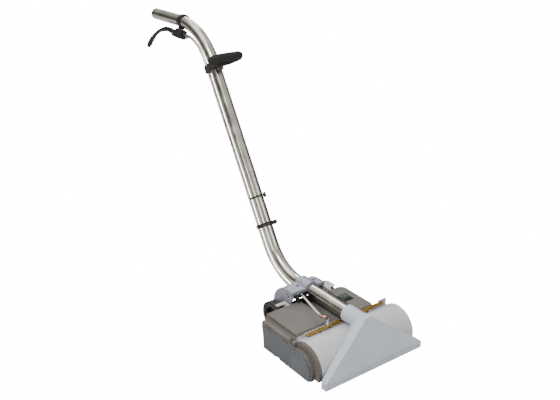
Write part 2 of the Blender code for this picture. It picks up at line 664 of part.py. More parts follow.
def trigger_lever():
    """A brake-type lever: a thick arm along the grip, then a thin blade that curls away to a spoon."""
    frame = trigger_frame()
    pivot_y, pivot_drop = LEVER_PIVOT
    path = [(pivot_y, 0.048, 0.0058, 0.0076), (0.038, 0.0440, 0.0060, 0.0084), (0.050, 0.0413, 0.0074, 0.0084),
            (0.068, 0.0390, 0.0078, 0.0080), (0.092, 0.0405, 0.0076, 0.0074), (0.113, 0.0460, 0.0070, 0.0064),
            (0.131, 0.0545, 0.0064, 0.0047), (0.146, 0.0670, 0.0066, 0.0040), (0.157, 0.0830, 0.0076, 0.0042),
            (0.163, 0.0980, 0.0088, 0.0052), (0.166, 0.1110, 0.0080, 0.0050), (0.167, 0.1190, 0.0046, 0.0030)]
    centres = [Vector((0, y, -drop)) for y, drop, _, _ in path]
    vertices = []
    for centre, along, (_, _, half_width, half_thickness) in zip(centres, tangents(centres), path):
        vertices += lever_section(centre, along, half_width, half_thickness)
    sides = 8
    faces = [tuple(range(sides)), tuple(range(len(vertices) - sides, len(vertices)))]
    for start in range(0, len(vertices) - sides, sides):
        for k in range(sides):
            n = (k + 1) % sides
            faces.append((start + k, start + n, start + sides + n, start + sides + k))
    lever = solid("trigger_lever", vertices, faces, "black_plastic", frame)
    hub = cylinder("hub", "X", (0, pivot_y, -pivot_drop), -0.0063, 0.0063, LEVER_HUB_RADIUS, "steel", SMALL, frame)
    nose = box("nose", (-0.004, 0.0165, -PLUNGER_DROP - 0.0035), (0.004, pivot_y, -PLUNGER_DROP - 0.0002), "steel",
               frame)
    add(lever, hub, nose)
    cut(lever, cylinder("pin_room", "X", (0, pivot_y, -pivot_drop), -0.02, 0.02, LEVER_PIN_RADIUS + RUN, "steel",
                        SMALL, frame))
    return lever


def lever_pin():
    pivot_y, pivot_drop = LEVER_PIVOT
    profile = [(-0.0128, 0), (-0.0128, 0.0036), (-0.0108, 0.0042), (-0.0108, LEVER_PIN_RADIUS),
               (0.0118, LEVER_PIN_RADIUS), (0.0118, 0)]
    return turned("lever_pin", profile, "X", (0, pivot_y, -pivot_drop), "steel", SMALL, trigger_frame())


def valve_plunger():
    return cylinder("valve_plunger", "Y", (0, 0, -PLUNGER_DROP), -0.003, 0.0160, PLUNGER_RADIUS, "steel", SMALL,
                    trigger_frame())


def valve_outlet():
    """The round fitting that the solution tube leaves by."""
    start, end = -0.028 - GAP, -0.040
    room = SOLUTION_RADIUS + GAP
    profile = [(start, 0), (start, 0.0078), (start - 0.006, 0.0082), (end + 0.002, 0.0076), (end, 0.0066),
               (end, room), (-0.0325, room), (-0.0325, 0)]
    return turned("valve_outlet", profile, "Y", (0, 0, -0.042), "black_plastic", SMALL, trigger_frame())


def solution_inlet():
    """The brass nipple that the machine's solution hose snaps on to."""
    start = BODY_HALF_WIDTH + GAP
    profile = [(start, 0), (start, 0.0065), (start + 0.004, 0.0065), (start + 0.004, 0.0045),
               (start + 0.009, 0.0045), (start + 0.010, 0.0058), (start + 0.014, 0.0058), (start + 0.016, 0.0040),
               (start + 0.016, 0.0020), (start + 0.004, 0.0020), (start + 0.004, 0)]
    return turned("solution_inlet", profile, "X", (0, -0.012, -0.046), "brass", SMALL, trigger_frame())


# ---- loop handle ------------------------------------------------------------------------------------------
def loop_points():
    """The handle's loop in its own plane: narrow at the lance and wide in front, with round corners."""
    narrow, wide = 0.022, HANDLE_HALF_WIDTH
    corners = [(-narrow, -HANDLE_REAR, 0.016), (-wide, -0.070, 0.020), (-wide + 0.008, -HANDLE_REACH, 0.020),
               (wide - 0.008, -HANDLE_REACH, 0.020), (wide, -0.070, 0.020), (narrow, -HANDLE_REAR, 0.016)]
    corners = [(Vector((x, y, 0)), radius) for x, y, radius in corners]
    points = []
    for k, (corner, radius) in enumerate(corners):
        before = (corners[k - 1][0] - corner)
        after = (corners[(k + 1) % len(corners)][0] - corner)
        reach = min(radius, 0.48 * before.length, 0.48 * after.length)
        start = corner + reach * before.normalized()
        end = corner + reach * after.normalized()
        for t in (0, 0.25, 0.5, 0.75, 1):
            points.append((1 - t) ** 2 * start + 2 * t * (1 - t) * corner + t * t * end)
    return points


def loop_handle():
    """A closed loop of foam grip on a bent bar."""
    frame = lance_frame(HANDLE_AT)
    points = loop_points()
    count, sides = len(points), 12
    vertices, faces = [], []
    for k, point in enumerate(points):
        along = (points[(k + 1) % count] - points[k - 1]).normalized()
        side = Vector((0, 0, 1))
        up = along.cross(side)
        vertices += ring_at(point, side, up, HANDLE_GRIP_RADIUS, sides)
    for k in range(count):
        one, two = k * sides, ((k + 1) % count) * sides
        for j in range(sides):
            n = (j + 1) % sides
            faces.append((one + j, one + n, two + n, two + j))
    loop = solid("loop_handle", vertices, faces, "foam", frame)
    boss_room = box("boss_room", (-0.0115, -HANDLE_REAR - 0.004, -0.02), (0.0115, -0.010, 0.02), "steel", frame)
    return cut(loop, boss_room)


def handle_clamp():
    """The block that clamps the loop to the lance and carries the solution tube past it."""
    width = 0.026
    frame = lance_frame(HANDLE_AT)
    clamp = lance_band("handle_clamp", HANDLE_AT, width, 0.006, "black_plastic")
    half = width / 2 - 0.0005
    front = box("front", (-0.011, -HANDLE_REAR - 0.0035, -half), (0.011, -TUBE_RADIUS - 0.002, half), "steel", frame)
    add(clamp, front)
    solution_lobe(clamp, HANDLE_AT, width, 0.005)
    boss = cylinder("boss", "Y", (0.006, 0, 0), TUBE_RADIUS + 0.003, TUBE_RADIUS + 0.0125, 0.0075, "steel", SMALL, frame)
    add(clamp, boss)
    cut(clamp, cylinder("screw_bore", "Y", (0.006, 0, 0), TUBE_RADIUS - 0.003, TUBE_RADIUS + 0.02, 0.0028, "steel",
                        SMALL, frame))
    return clamp


def handle_screw():
    """The hand screw at the back of the clamp."""
    start = TUBE_RADIUS + 0.0125 + GAP
    profile = [(TUBE_RADIUS + 0.0015, 0), (TUBE_RADIUS + 0.0015, 0.0025), (start, 0.0025), (start, 0.0072),
               (start + 0.007, 0.0085), (start + 0.010, 0.0085), (start + 0.012, 0.006), (start + 0.012, 0)]
    return turned("handle_screw", profile, "Y", (0.006, 0, 0), "black_plastic", 10, lance_frame(HANDLE_AT))


# ---- brush unit: frame, hood and end cap ------------------------------------------------------------------
def base_frame():
    """A bent frame: floor plate, ears for the bracket's pivot, and lugs for the wheel axle."""
    low, high = FLOOR_Z
    frame = box("base_frame", (PANEL_LEFT_X, PANEL_FRONT_Y, low), (PANEL_RIGHT_X, PANEL_BACK_Y, high), "frame_white")
    ear_xs = ((CHEEK_LEFT_X + CHEEK_WIDTH + GAP, CHEEK_LEFT_X + CHEEK_WIDTH + GAP + EAR_WIDTH),
              (CHEEK_RIGHT_X - CHEEK_WIDTH - GAP - EAR_WIDTH, CHEEK_RIGHT_X - CHEEK_WIDTH - GAP))
    add(frame, box("tail", (ear_xs[0][0], PANEL_BACK_Y - 0.004, low), (ear_xs[1][1], PIVOT_Y + 0.012, high), "steel"))
    for left, right in ear_xs:
        outline = arc((PIVOT_Y, PIVOT_Z), 0.010, 0, 180, 6) + [(PIVOT_Y - 0.012, low + 0.001), (PIVOT_Y + 0.011, low + 0.001)]
        add(frame, prism("ear", outline, "X", left, right, "steel"))
    wall_y = PIVOT_Y - 0.0110
    add(frame, box("cross_wall", (ear_xs[0][0] + GAP, wall_y, low + 0.0008),
                   (ear_xs[1][1] - GAP, wall_y + 0.0025, BASE_BOTTOM_Z - 0.0015), "steel"))
    flange_z = LEFT_PANEL_Z - 0.003
    for side in (-1, 1):
        inner, outer = sorted((side * LUG_X[0], side * LUG_X[1]))
        outline = [(PANEL_BACK_Y - 0.001, low + 0.0005), (AXLE_Y + 0.014, AXLE_Z - 0.010),
                   (AXLE_Y + 0.014, AXLE_Z + 0.010), (AXLE_Y - 0.001, AXLE_Z + 0.020), (PIVOT_Y + 0.003, flange_z),
                   (PANEL_BACK_Y + GAP, flange_z), (PANEL_BACK_Y + GAP, high - 0.0005),
                   (PANEL_BACK_Y - 0.001, high - 0.0005)]
        add(frame, prism("lug", outline, "X", inner, outer, "steel"))
        wing = sorted((side * (LUG_X[0] + 0.001), side * (WHEEL_OUTER_X - 0.001)))
        front, back = (PANEL_BACK_Y + 0.0135, AXLE_Y + 0.001) if side > 0 else (PANEL_BACK_Y + 0.018, PIVOT_Y + 0.004)
        add(frame, box("flange", (wing[0], front, flange_z - 0.0028), (wing[1], back, flange_z - 0.0005), "steel"))
    cut(frame, cylinder("axle_room", "X", (0, AXLE_Y, AXLE_Z), -0.2, 0.2, AXLE_RADIUS + GAP, "steel", SMALL))
    cut(frame, cylinder("bolt_room", "X", (0, PIVOT_Y, PIVOT_Z), -0.2, 0.2, PIVOT_BOLT_RADIUS + GAP, "steel", SMALL))
    return frame


def hood_outline():
    """The hood's section in (y, z): an arc over the brush, a shelf for the bar, and an upright lip."""
    centre = (HOOD_Y, HOOD_Z)
    inner_radius = HOOD_RADIUS - HOOD_WALL
    shelf_z = HOOD_Z + sqrt(HOOD_RADIUS ** 2 - (BAR_Y + BAR_RADIUS - HOOD_Y) ** 2)
    end = atan2(shelf_z - HOOD_Z, BAR_Y + BAR_RADIUS - HOOD_Y) * 180 / pi
    start = 180 + acos(sqrt(HOOD_RADIUS ** 2 - (HOOD_Z - HOOD_SKIRT_Z) ** 2) / HOOD_RADIUS) * 180 / pi
    lip_inner_y = HOOD_BACK_Y - HOOD_WALL
    under_z = shelf_z - HOOD_WALL
    inner_end = acos((lip_inner_y - 0.006 - HOOD_Y) / inner_radius) * 180 / pi
    outer = arc(centre, HOOD_RADIUS, start, end, 26)
    lip = [(lip_inner_y, shelf_z), (lip_inner_y, LIP_TOP_Z), (HOOD_BACK_Y, LIP_TOP_Z), (HOOD_BACK_Y, HOOD_SKIRT_Z),
           (lip_inner_y, HOOD_SKIRT_Z), (lip_inner_y, HOOD_Z + inner_radius * sin(radians(inner_end)) - 0.004)]
    return outer + lip + arc(centre, inner_radius, inner_end, start, 24), under_z


def brush_hood():
    outline, _ = hood_outline()
    hood = prism("brush_hood", outline, "X", HOOD_LEFT_X, HOOD_RIGHT_X, "hood_white")
    cut(hood, box("lip_trim", (HOOD_LEFT_X - 0.01, HOOD_BACK_Y - 0.012, LIP_TOP_Z - LIP_DROP),
                  (BAR_RIGHT_X - 0.006, HOOD_BACK_Y + 0.01, LIP_TOP_Z + 0.01), "steel"))
    cut(hood, box("lip_end_trim", (HOOD_LEFT_X - 0.01, HOOD_BACK_Y - 0.0025, LIP_TOP_Z - 0.0150),
                  (BAR_LEFT_X - 0.001, HOOD_BACK_Y + 0.01, LIP_TOP_Z + 0.01), "steel"))
    for x in (-NOZZLE_X, NOZZLE_X):
        cut(hood, cylinder("nozzle_room", "Z", (x, 0, 0), -0.03, 0, NOZZLE_RADIUS + GAP, "steel", SMALL, bar_frame()))
    return hood


def hood_end_cap():
    """The right end of the brush chamber. Its lower edge is a skid that meets the floor."""
    bottom = 180 + acos(sqrt(HOOD_RADIUS ** 2 - HOOD_Z ** 2) / HOOD_RADIUS) * 180 / pi
    top = acos((HOOD_BACK_Y - HOOD_Y) / HOOD_RADIUS) * 180 / pi
    outline = arc((HOOD_Y, HOOD_Z), HOOD_RADIUS, bottom, top, 26) + [(HOOD_BACK_Y, 0)]
    cap = prism("hood_end_cap", outline, "X", HOOD_RIGHT_X + GAP, HOOD_RIGHT_X + GAP + END_CAP_WIDTH, "hood_white")
    round_edges(cap, 0.0012, 2, 50)
    cut(cap, cylinder("shaft_room", "X", (0, BRUSH_Y, BRUSH_Z), HOOD_RIGHT_X - 0.001, HOOD_RIGHT_X + 0.0035,
                      BRUSH_SHAFT_RADIUS + 0.001, "steel", SMALL))
    return cap


# ---- brush unit: brush, belt drive and their covers --------------------------------------------------------
def brush_shaft():
    """The roller: a core with a journal at each end and a long left journal for the pulley."""
    left = BELT_X - BELT_WIDTH / 2 - 0.002
    profile = [(left, 0), (left, BRUSH_SHAFT_RADIUS), (BRUSH_LEFT_X, BRUSH_SHAFT_RADIUS),
               (BRUSH_LEFT_X, CORE_RADIUS), (BRUSH_RIGHT_X, CORE_RADIUS), (BRUSH_RIGHT_X, BRUSH_SHAFT_RADIUS),
               (HOOD_RIGHT_X + 0.002, BRUSH_SHAFT_RADIUS), (HOOD_RIGHT_X + 0.002, 0)]
    return turned("brush_shaft", profile, "X", (0, BRUSH_Y, BRUSH_Z), "steel")


def brush_bristles():
    return ring("brush_bristles", "X", (0, BRUSH_Y, BRUSH_Z), BRUSH_LEFT_X + 0.002, BRUSH_RIGHT_X - 0.002,
                CORE_RADIUS + GAP, BRISTLE_RADIUS, "bristle", 32, edge=0.002)


def brush_bearing(name, low):
    return ring(name, "X", (0, BRUSH_Y, BRUSH_Z), low, low + BEARING_WIDTH, BRUSH_SHAFT_RADIUS + RUN,
                BEARING_RADIUS, "steel", 20)


def pulley(name, centre, radius, bore):
    low, high = BELT_X - BELT_WIDTH / 2, BELT_X + BELT_WIDTH / 2
    rim, flange = radius, radius + 0.0020
    profile = [(low - 0.0005, bore), (low - 0.0005, flange), (low - 0.0001, flange), (low - 0.0001, rim),
               (high + 0.0001, rim), (high + 0.0001, flange), (high + 0.0005, flange), (high + 0.0005, bore)]
    return turned(name, profile, "X", centre, "steel", 20)


def belt_line(extra):
    """A loop round both pulleys at a distance from their rims, in (y, z)."""
    small, large = DRIVE_PULLEY_RADIUS + extra, BRUSH_PULLEY_RADIUS + extra
    across_y, across_z = MOTOR_Y - BRUSH_Y, MOTOR_Z - BRUSH_Z
    apart = sqrt(across_y ** 2 + across_z ** 2)
    lean = atan2(across_z, across_y) * 180 / pi
    spread = acos((large - small) / apart) * 180 / pi
    loop = arc((MOTOR_Y, MOTOR_Z), small, lean - spread, lean + spread, 8)
    return loop + arc((BRUSH_Y, BRUSH_Z), large, lean + spread, lean + 360 - spread, 14)


def drive_belt():
    inside = belt_line(GAP)
    outside = belt_line(GAP + BELT_THICKNESS)
    low, high = BELT_X - BELT_WIDTH / 2 + 0.0003, BELT_X + BELT_WIDTH / 2 - 0.0003
    count = len(inside)
    rings = [[(x, y, z) for y, z in line] for x in (low, high) for line in (outside, inside)]
    order = [rings[0], rings[1], rings[3], rings[2]]
    points = [point for part in order for point in part]
    faces = []
    for k in range(4):
        one, two = k * count, ((k + 1) % 4) * count
        for j in range(count):
            n = (j + 1) % count
            faces.append((one + j, one + n, two + n, two + j))
    return solid("drive_belt", points, faces, "rubber")


def cover_outline(out, bottom_z):
    """The belt cover's outline in (y, z): a round front over the brush pulley, a dip, and a long flat back.
    out moves it outwards."""
    centre, radius = (COVER_ARC_Y, COVER_ARC_Z), COVER_ARC_RADIUS + out
    start = 180 + acos(max(-1, min(1, sqrt(radius ** 2 - (centre[1] - bottom_z) ** 2) / radius))) * 180 / pi
    dip_y, dip_z = COVER_ARC_Y + 0.0376, COVER_ARC_Z + 0.0448 + out
    front_end = acos((dip_y - 0.0166 - centre[0]) / radius) * 180 / pi
    top = COVER_TOP_Z + out
    corner = 0.012
    outline = arc(centre, radius, start, front_end, 18)
    outline += [(dip_y, dip_z), (dip_y + 0.021, top)]
    outline += arc((COVER_BACK_Y + out - corner, top - corner), corner, 90, 0, 4)
    outline += [(COVER_BACK_Y + out - 0.006, bottom_z)]
    return outline


def end_flange():
    """A disc as round as the hood, flat at the back and cut off above the floor."""
    radius, low_z = HOOD_RADIUS + 0.0003, HOOD_SKIRT_Z
    bottom = 180 + acos(sqrt(radius ** 2 - (HOOD_Z - low_z) ** 2) / radius) * 180 / pi
    top = acos((HOOD_BACK_Y - HOOD_Y) / radius) * 180 / pi
    outline = arc((HOOD_Y, HOOD_Z), radius, bottom, top, 26) + [(HOOD_BACK_Y, low_z)]
    low_x = HOUSING_X[1] - 0.0032
    return prism("flange", outline, "X", low_x, HOOD_LEFT_X - GAP, "steel")


def housing_shoulder():
    """The shoulder of the belt housing, level with the ledge of the motor cover beside it."""
    top, front, back = STRIP_Z, PANEL_FRONT_Y, COVER_BACK_Y + 0.0105
    outline = [(front - 0.0020, top - 0.019), (front + 0.0085, top - 0.002), (front + 0.0115, top), (back - 0.005, top),
               (back, top - 0.005), (back, top - 0.030), (front, top - 0.030)]
    shoulder = prism("shoulder", outline, "X", HOUSING_X[0] + 0.0016, HOUSING_X[1] - 0.0002, "steel")
    return round_edges(shoulder, 0.0018, 2, 50)


def flange_step():
    """The step that fills the corner between the round flange and the motor cover."""
    back = HOOD_BACK_Y - 0.0004
    outline = [(back - 0.0160, LIP_TOP_Z - 0.0290), (back - 0.0130, LIP_TOP_Z - 0.0170), (back, LIP_TOP_Z - 0.0170),
               (back, LIP_TOP_Z - 0.0390)]
    return prism("step", outline, "X", HOUSING_X[0] + 0.0060, HOOD_LEFT_X - 2 * GAP, "steel")


def belt_housing():
    """The taupe shell of the belt drive, with the round flange that closes the left end of the brush chamber."""
    housing = prism("belt_housing", cover_outline(HOUSING_EDGE, 0.0), "X", *HOUSING_X, "taupe_plastic")
    round_edges(housing, 0.0026, 3, 50)
    add(housing, end_flange(), housing_shoulder(), flange_step())
    room = prism("room", cover_outline(-COVER_WALL - 0.0005, 0.0035), "X", HOUSING_X[0] - 0.001,
                 HOUSING_X[1] - HOUSING_PLATE, "steel")
    cut(housing, room)
    for centre, radius in (((0, BRUSH_Y, BRUSH_Z), BRUSH_SHAFT_RADIUS), ((0, MOTOR_Y, MOTOR_Z), MOTOR_SHAFT_RADIUS)):
        cut(housing, cylinder("shaft_room", "X", centre, -0.2, -0.16, radius + 0.0015, "steel", SMALL))
    return housing


def belt_cover():
    """The slate outer shell. Its lower edge is a skid, with a notch for fingers."""
    cover = prism("belt_cover", cover_outline(0, 0.0), "X", *COVER_X, "slate_plastic")
    round_edges(cover, 0.0016, 3, 50)
    room = prism("room", cover_outline(-0.0025, 0.0080), "X", COVER_X[0] + COVER_WALL, COVER_X[1] + 0.001,
                 "steel")
    notch_outline = [(0.191, -0.001), (0.192, 0.0035), (0.195, 0.0045), (0.206, 0.0045), (0.209, 0.0035),
                     (0.210, -0.001)]
    notch = prism("notch", notch_outline, "X", COVER_X[0] - 0.001, COVER_X[1] + 0.001, "steel")
    screw_room = cylinder("screw_room", "X", cover_screw_centre(), COVER_X[0] - 0.001, COVER_X[1] + 0.001,
                          0.0022, "steel", 10)
    return cut(cover, room, notch, screw_room)


def cover_screw_centre():
    return (0, COVER_ARC_Y + 0.017, COVER_ARC_Z + 0.036)


def belt_cover_screw():
    """The screw that holds the belt cover, with a domed head."""
    start = COVER_X[0] - GAP
    profile = [(start - 0.0016, 0), (start - 0.0013, 0.0020), (start, 0.0036), (start, 0.0018),
               (COVER_X[1] - 0.001, 0.0018), (COVER_X[1] - 0.001, 0)]
    return turned("belt_cover_screw", profile, "X", cover_screw_centre(), "steel", 10)


def motor_can():
    """The motor's shell with its stator, open at the right end."""
    wall_end = MOTOR_LEFT_X + 0.008
    inner = MOTOR_RADIUS - MOTOR_WALL
    profile = [(MOTOR_LEFT_X, MOTOR_SHAFT_RADIUS + RUN), (MOTOR_LEFT_X, 0.011), (MOTOR_LEFT_X + 0.004, 0.011),
               (MOTOR_LEFT_X + 0.004, MOTOR_RADIUS - 0.002), (MOTOR_LEFT_X + 0.006, MOTOR_RADIUS),
               (MOTOR_RIGHT_X, MOTOR_RADIUS), (MOTOR_RIGHT_X, inner), (wall_end, inner),
               (wall_end, MOTOR_SHAFT_RADIUS + RUN)]
    return turned("motor_can", profile, "X", (0, MOTOR_Y, MOTOR_Z), "steel")


def motor_end_cap():
    start = MOTOR_RIGHT_X + GAP
    profile = [(start, MOTOR_SHAFT_RADIUS + RUN), (start, MOTOR_RADIUS), (start + 0.007, MOTOR_RADIUS),
               (start + 0.012, 0.016), (start + 0.012, 0), (start + 0.008, 0), (start + 0.008, MOTOR_SHAFT_RADIUS + RUN)]
    profile = [(start + 0.008, 0), (start + 0.008, MOTOR_SHAFT_RADIUS + RUN), (start, MOTOR_SHAFT_RADIUS + RUN),
               (start, MOTOR_RADIUS), (start + 0.007, MOTOR_RADIUS), (start + 0.012, 0.016), (start + 0.012, 0)]
    return turned("motor_end_cap", profile, "X", (0, MOTOR_Y, MOTOR_Z), "black_plastic")


def motor_rotor():
    left = BELT_X - BELT_WIDTH / 2 - 0.0008
    body_left, body_right = MOTOR_LEFT_X + 0.014, MOTOR_RIGHT_X - 0.006
    profile = [(left, 0), (left, MOTOR_SHAFT_RADIUS), (body_left, MOTOR_SHAFT_RADIUS), (body_left, ROTOR_RADIUS),
               (body_right, ROTOR_RADIUS), (body_right, MOTOR_SHAFT_RADIUS),
               (MOTOR_RIGHT_X + 0.007, MOTOR_SHAFT_RADIUS), (MOTOR_RIGHT_X + 0.007, 0)]
    return turned("motor_rotor", profile, "X", (0, MOTOR_Y, MOTOR_Z), "steel")


# ---- brush unit: motor cover, switch and inlet ------------------------------------------------------------
def panel_profile(wall):
    """The left panel and the channel across the cover, in (x, z). wall draws the inside of the same shape."""
    left = PANEL_LEFT_X + wall
    step = PANEL_LEFT_X + 0.007 + wall
    slope = 0.0015
    bottom = FLOOR_Z[1] + GAP - (0.005 if wall else 0)
    low, high = CHANNEL_X
    return [(left, bottom), (left, STRIP_Z - wall), (step, STRIP_Z - wall), (step + slope, LEFT_PANEL_Z - wall),
            (low - 2 * slope - wall, LEFT_PANEL_Z - wall), (low - wall, CHANNEL_Z - wall), (high + wall, CHANNEL_Z - wall),
            (high + 2 * slope + wall, RIGHT_PANEL_Z - wall), (high + 0.030, RIGHT_PANEL_Z - wall), (high + 0.030, bottom)]


def right_panel(name, wall):
    """The right panel as an upright block with round corners."""
    low = (CHANNEL_X[1] + 0.020, PANEL_FRONT_Y + wall)
    high = (PANEL_RIGHT_X - wall, PANEL_BACK_Y - wall)
    corner = 0.020 - wall
    outline = [low] + arc((high[0] - 0.008, low[1] + 0.008), 0.008, -90, 0, 3)
    outline += arc((high[0] - corner, high[1] - corner), corner, 0, 90, 6) + [(low[0], high[1])]
    bottom = FLOOR_Z[1] + GAP - (0.005 if wall else 0)
    return prism(name, outline, "Z", bottom, RIGHT_PANEL_Z - wall, "taupe_plastic")


def front_slope():
    """What is planed off the front edge of the left panel."""
    drop, back = 0.006, 0.005
    outline = [(PANEL_FRONT_Y - 0.001, LEFT_PANEL_Z - drop - 0.0012), (PANEL_FRONT_Y - 0.001, LEFT_PANEL_Z + 0.001),
               (PANEL_FRONT_Y + back + 0.0008, LEFT_PANEL_Z + 0.001)]
    return prism("slope", outline, "X", PANEL_LEFT_X - 0.001, CHANNEL_X[0] - 0.0005, "steel")


def motor_cover():
    """A moulded shell: raised panels at both sides of a channel that the lance lies over."""
    cover = prism("motor_cover", panel_profile(0), "Y", PANEL_FRONT_Y, PANEL_BACK_Y, "taupe_plastic")
    add(cover, right_panel("right_panel", 0))
    round_edges(cover, 0.0015, 2, 40)
    wall = MOTOR_COVER_WALL
    cut(cover, front_slope())
    cut(cover, prism("left_room", panel_profile(wall), "Y", PANEL_FRONT_Y + 2 * wall, PANEL_BACK_Y - wall, "steel"))
    cut(cover, right_panel("right_room", wall))
    cut(cover, cylinder("shaft_room", "X", (0, MOTOR_Y, MOTOR_Z), -0.2, -0.15, MOTOR_SHAFT_RADIUS + 0.003, "steel",
                        SMALL))
    half_x, half_y = SWITCH_SIZE[0] / 2 + GAP, SWITCH_SIZE[1] / 2 + GAP
    cut(cover, box("switch_room", (SWITCH_X - half_x, SWITCH_Y - half_y, RIGHT_PANEL_Z - 0.01),
                   (SWITCH_X + half_x, SWITCH_Y + half_y, RIGHT_PANEL_Z + 0.01), "steel"))
    cut(cover, cylinder("gland_room", "Y", inlet_centre(), PANEL_BACK_Y - 0.01, PANEL_BACK_Y + 0.01, 0.0082,
                        "steel", SMALL))
    return cover


def inlet_centre():
    return (0.060, 0, 0.060)


def mains_inlet_gland():
    """The cable gland in the cover's back wall, with its bore for a lead."""
    outside = PANEL_BACK_Y + GAP
    inside = PANEL_BACK_Y - MOTOR_COVER_WALL - GAP
    profile = [(inside - 0.004, 0.0035), (inside - 0.004, 0.0105), (inside, 0.0105), (inside, 0.0078),
               (outside, 0.0078), (outside, 0.0105), (outside + 0.004, 0.0105), (outside + 0.008, 0.0070),
               (outside + 0.008, 0.0035)]
    return turned("mains_inlet_gland", profile, "Y", inlet_centre(), "black_plastic", SMALL)


def switch_bezel():
    half_x, half_y = SWITCH_SIZE[0] / 2, SWITCH_SIZE[1] / 2
    bottom = RIGHT_PANEL_Z - 0.017
    bezel = box("switch_bezel", (SWITCH_X - half_x, SWITCH_Y - half_y, bottom),
                (SWITCH_X + half_x, SWITCH_Y + half_y, RIGHT_PANEL_Z + 0.001), "black_plastic")
    rim = BEZEL_RIM
    add(bezel, box("rim", (SWITCH_X - half_x - rim, SWITCH_Y - half_y - rim, RIGHT_PANEL_Z + GAP),
                   (SWITCH_X + half_x + rim, SWITCH_Y + half_y + rim, RIGHT_PANEL_Z + 0.0026), "steel"))
    cut(bezel, box("pocket", (SWITCH_X - half_x + 0.0014, SWITCH_Y - half_y + 0.0014, bottom + 0.002),
                   (SWITCH_X + half_x - 0.0014, SWITCH_Y + half_y - 0.0014, RIGHT_PANEL_Z + 0.01), "steel"))
    return bezel


def switch_rocker():
    """A rocker with a hollow top, at rest with its rear end down."""
    half_x, half_y = SWITCH_SIZE[0] / 2 - 0.0019, SWITCH_SIZE[1] / 2 - 0.0022
    shape = [(-half_y, -0.001), (-half_y, 0.0050), (-half_y / 2, 0.0040), (0, 0.0036), (half_y / 2, 0.0040),
             (half_y, 0.0050), (half_y, -0.001), (0, -0.009)]
    turn = -ROCKER_TILT
    pivot = rocker_pivot()
    outline = [(pivot[1] + y * cos(turn) - z * sin(turn), pivot[2] + y * sin(turn) + z * cos(turn)) for y, z in shape]
    return prism("switch_rocker", outline, "X", SWITCH_X - half_x, SWITCH_X + half_x, "switch_green")


def rocker_pivot():
    return (SWITCH_X, SWITCH_Y, RIGHT_PANEL_Z - 0.001)


# ---- brush unit: spray bar and its hose -------------------------------------------------------------------
def bar_frame():
    """The bar slopes a little: X along its axis, from the point where it crosses X = 0."""
    slope = Matrix.Rotation(BAR_SWING, 4, "Z") @ Matrix.Rotation(-BAR_RISE, 4, "Y")
    return Matrix.Translation((0, BAR_Y, BAR_Z)) @ slope


def spray_bar():
    return ring("spray_bar", "X", (0, 0, 0), BAR_LEFT_X, BAR_RIGHT_X, BAR_BORE, BAR_RADIUS, "brass", 16, bar_frame())


def bar_plug(name, end, side):
    """A plug in an end of the bar."""
    stem, head = 0.008, 0.002
    profile = [(end - side * stem, 0), (end - side * stem, BAR_BORE - GAP), (end + side * GAP, BAR_BORE - GAP),
               (end + side * GAP, BAR_RADIUS - 0.001), (end + side * head, BAR_RADIUS - 0.0018),
               (end + side * head, 0.0020), (end + side * GAP, 0.0020), (end + side * GAP, 0)]
    return turned(name, profile, "X", (0, 0, 0), "brass", SMALL, bar_frame())


def nozzle(name, x):
    """A jet under the bar that reaches through the hood."""
    top = -BAR_RADIUS - GAP
    profile = [(top - NOZZLE_LENGTH, 0), (top - NOZZLE_LENGTH, 0.0018), (top - NOZZLE_LENGTH + 0.002, NOZZLE_RADIUS),
               (top, NOZZLE_RADIUS), (top, 0)]
    return turned(name, profile, "Z", (x, 0, 0), "brass", 10, bar_frame())


def post_top():
    """The middle of the post's top."""
    return bar_frame() @ Vector((POST_X, 0, BAR_RADIUS + GAP + POST_HEIGHT))


def spray_post():
    """The upright fitting on the bar."""
    low = BAR_RADIUS + GAP
    top = low + POST_HEIGHT
    profile = [(low, 0), (low, POST_RADIUS), (low + 0.005, POST_RADIUS), (low + 0.005, POST_RADIUS - 0.0015),
               (low + 0.007, POST_RADIUS - 0.0015), (low + 0.007, POST_RADIUS), (top, POST_RADIUS),
               (top, 0)]
    return turned("spray_post", profile, "Z", (POST_X, 0, 0), "steel", 12, bar_frame())


def manifold_section():
    """The manifold's axis, in Y and Z, and its radius."""
    return PANEL_BACK_Y + 0.0070, LEFT_PANEL_Z + 0.0158, 0.0090


def hose_ends():
    """Where the hose leaves the elbow, and where it enters the manifold."""
    start = post_top() + Vector((-0.009, 0.0150, 0.0045))
    y, z, radius = manifold_section()
    end = Vector((MANIFOLD_X[1] - 0.0055, y - radius - 0.0002, z + 0.0050))
    return start, end


def spray_elbow():
    start, end = hose_ends()
    foot = post_top() + Vector((0, 0, 0.0005))
    corner = foot + Vector((0, 0, 0.0045))
    along = (end - start).normalized()
    points = [foot, foot.lerp(corner, 0.6), corner.lerp(start, 0.28), start - 0.003 * along, start - GAP * along]
    return swept("spray_elbow", points, 0.0038, "copper", sides=10)


def spray_hose():
    """The thin hose over the left panel, with a slight sag."""
    start, end = hose_ends()
    steps, sag = 8, 0.0015
    points = [start.lerp(end, k / steps) - Vector((0, 0, sag * sin(pi * k / steps))) for k in range(steps + 1)]
    return swept("spray_hose", points, HOSE_RADIUS, "hose_white", sides=8)


def hose_manifold():
    """The round block on the motor cover that the hose comes from."""
    y, z, radius = manifold_section()
    low, high = MANIFOLD_X
    profile = [(low, 0), (low, radius - 0.003), (low + 0.003, radius), (high - 0.003, radius), (high, radius - 0.003), (high, 0)]
    block = turned("hose_manifold", profile, "X", (0, y, z), "black_plastic", 18)
    foot = box("foot", (low + 0.004, PANEL_BACK_Y - 0.009, LEFT_PANEL_Z + GAP),
               (high - 0.0155, PANEL_BACK_Y + 0.005, z - 0.0035), "steel")
    add(block, foot)
    return block


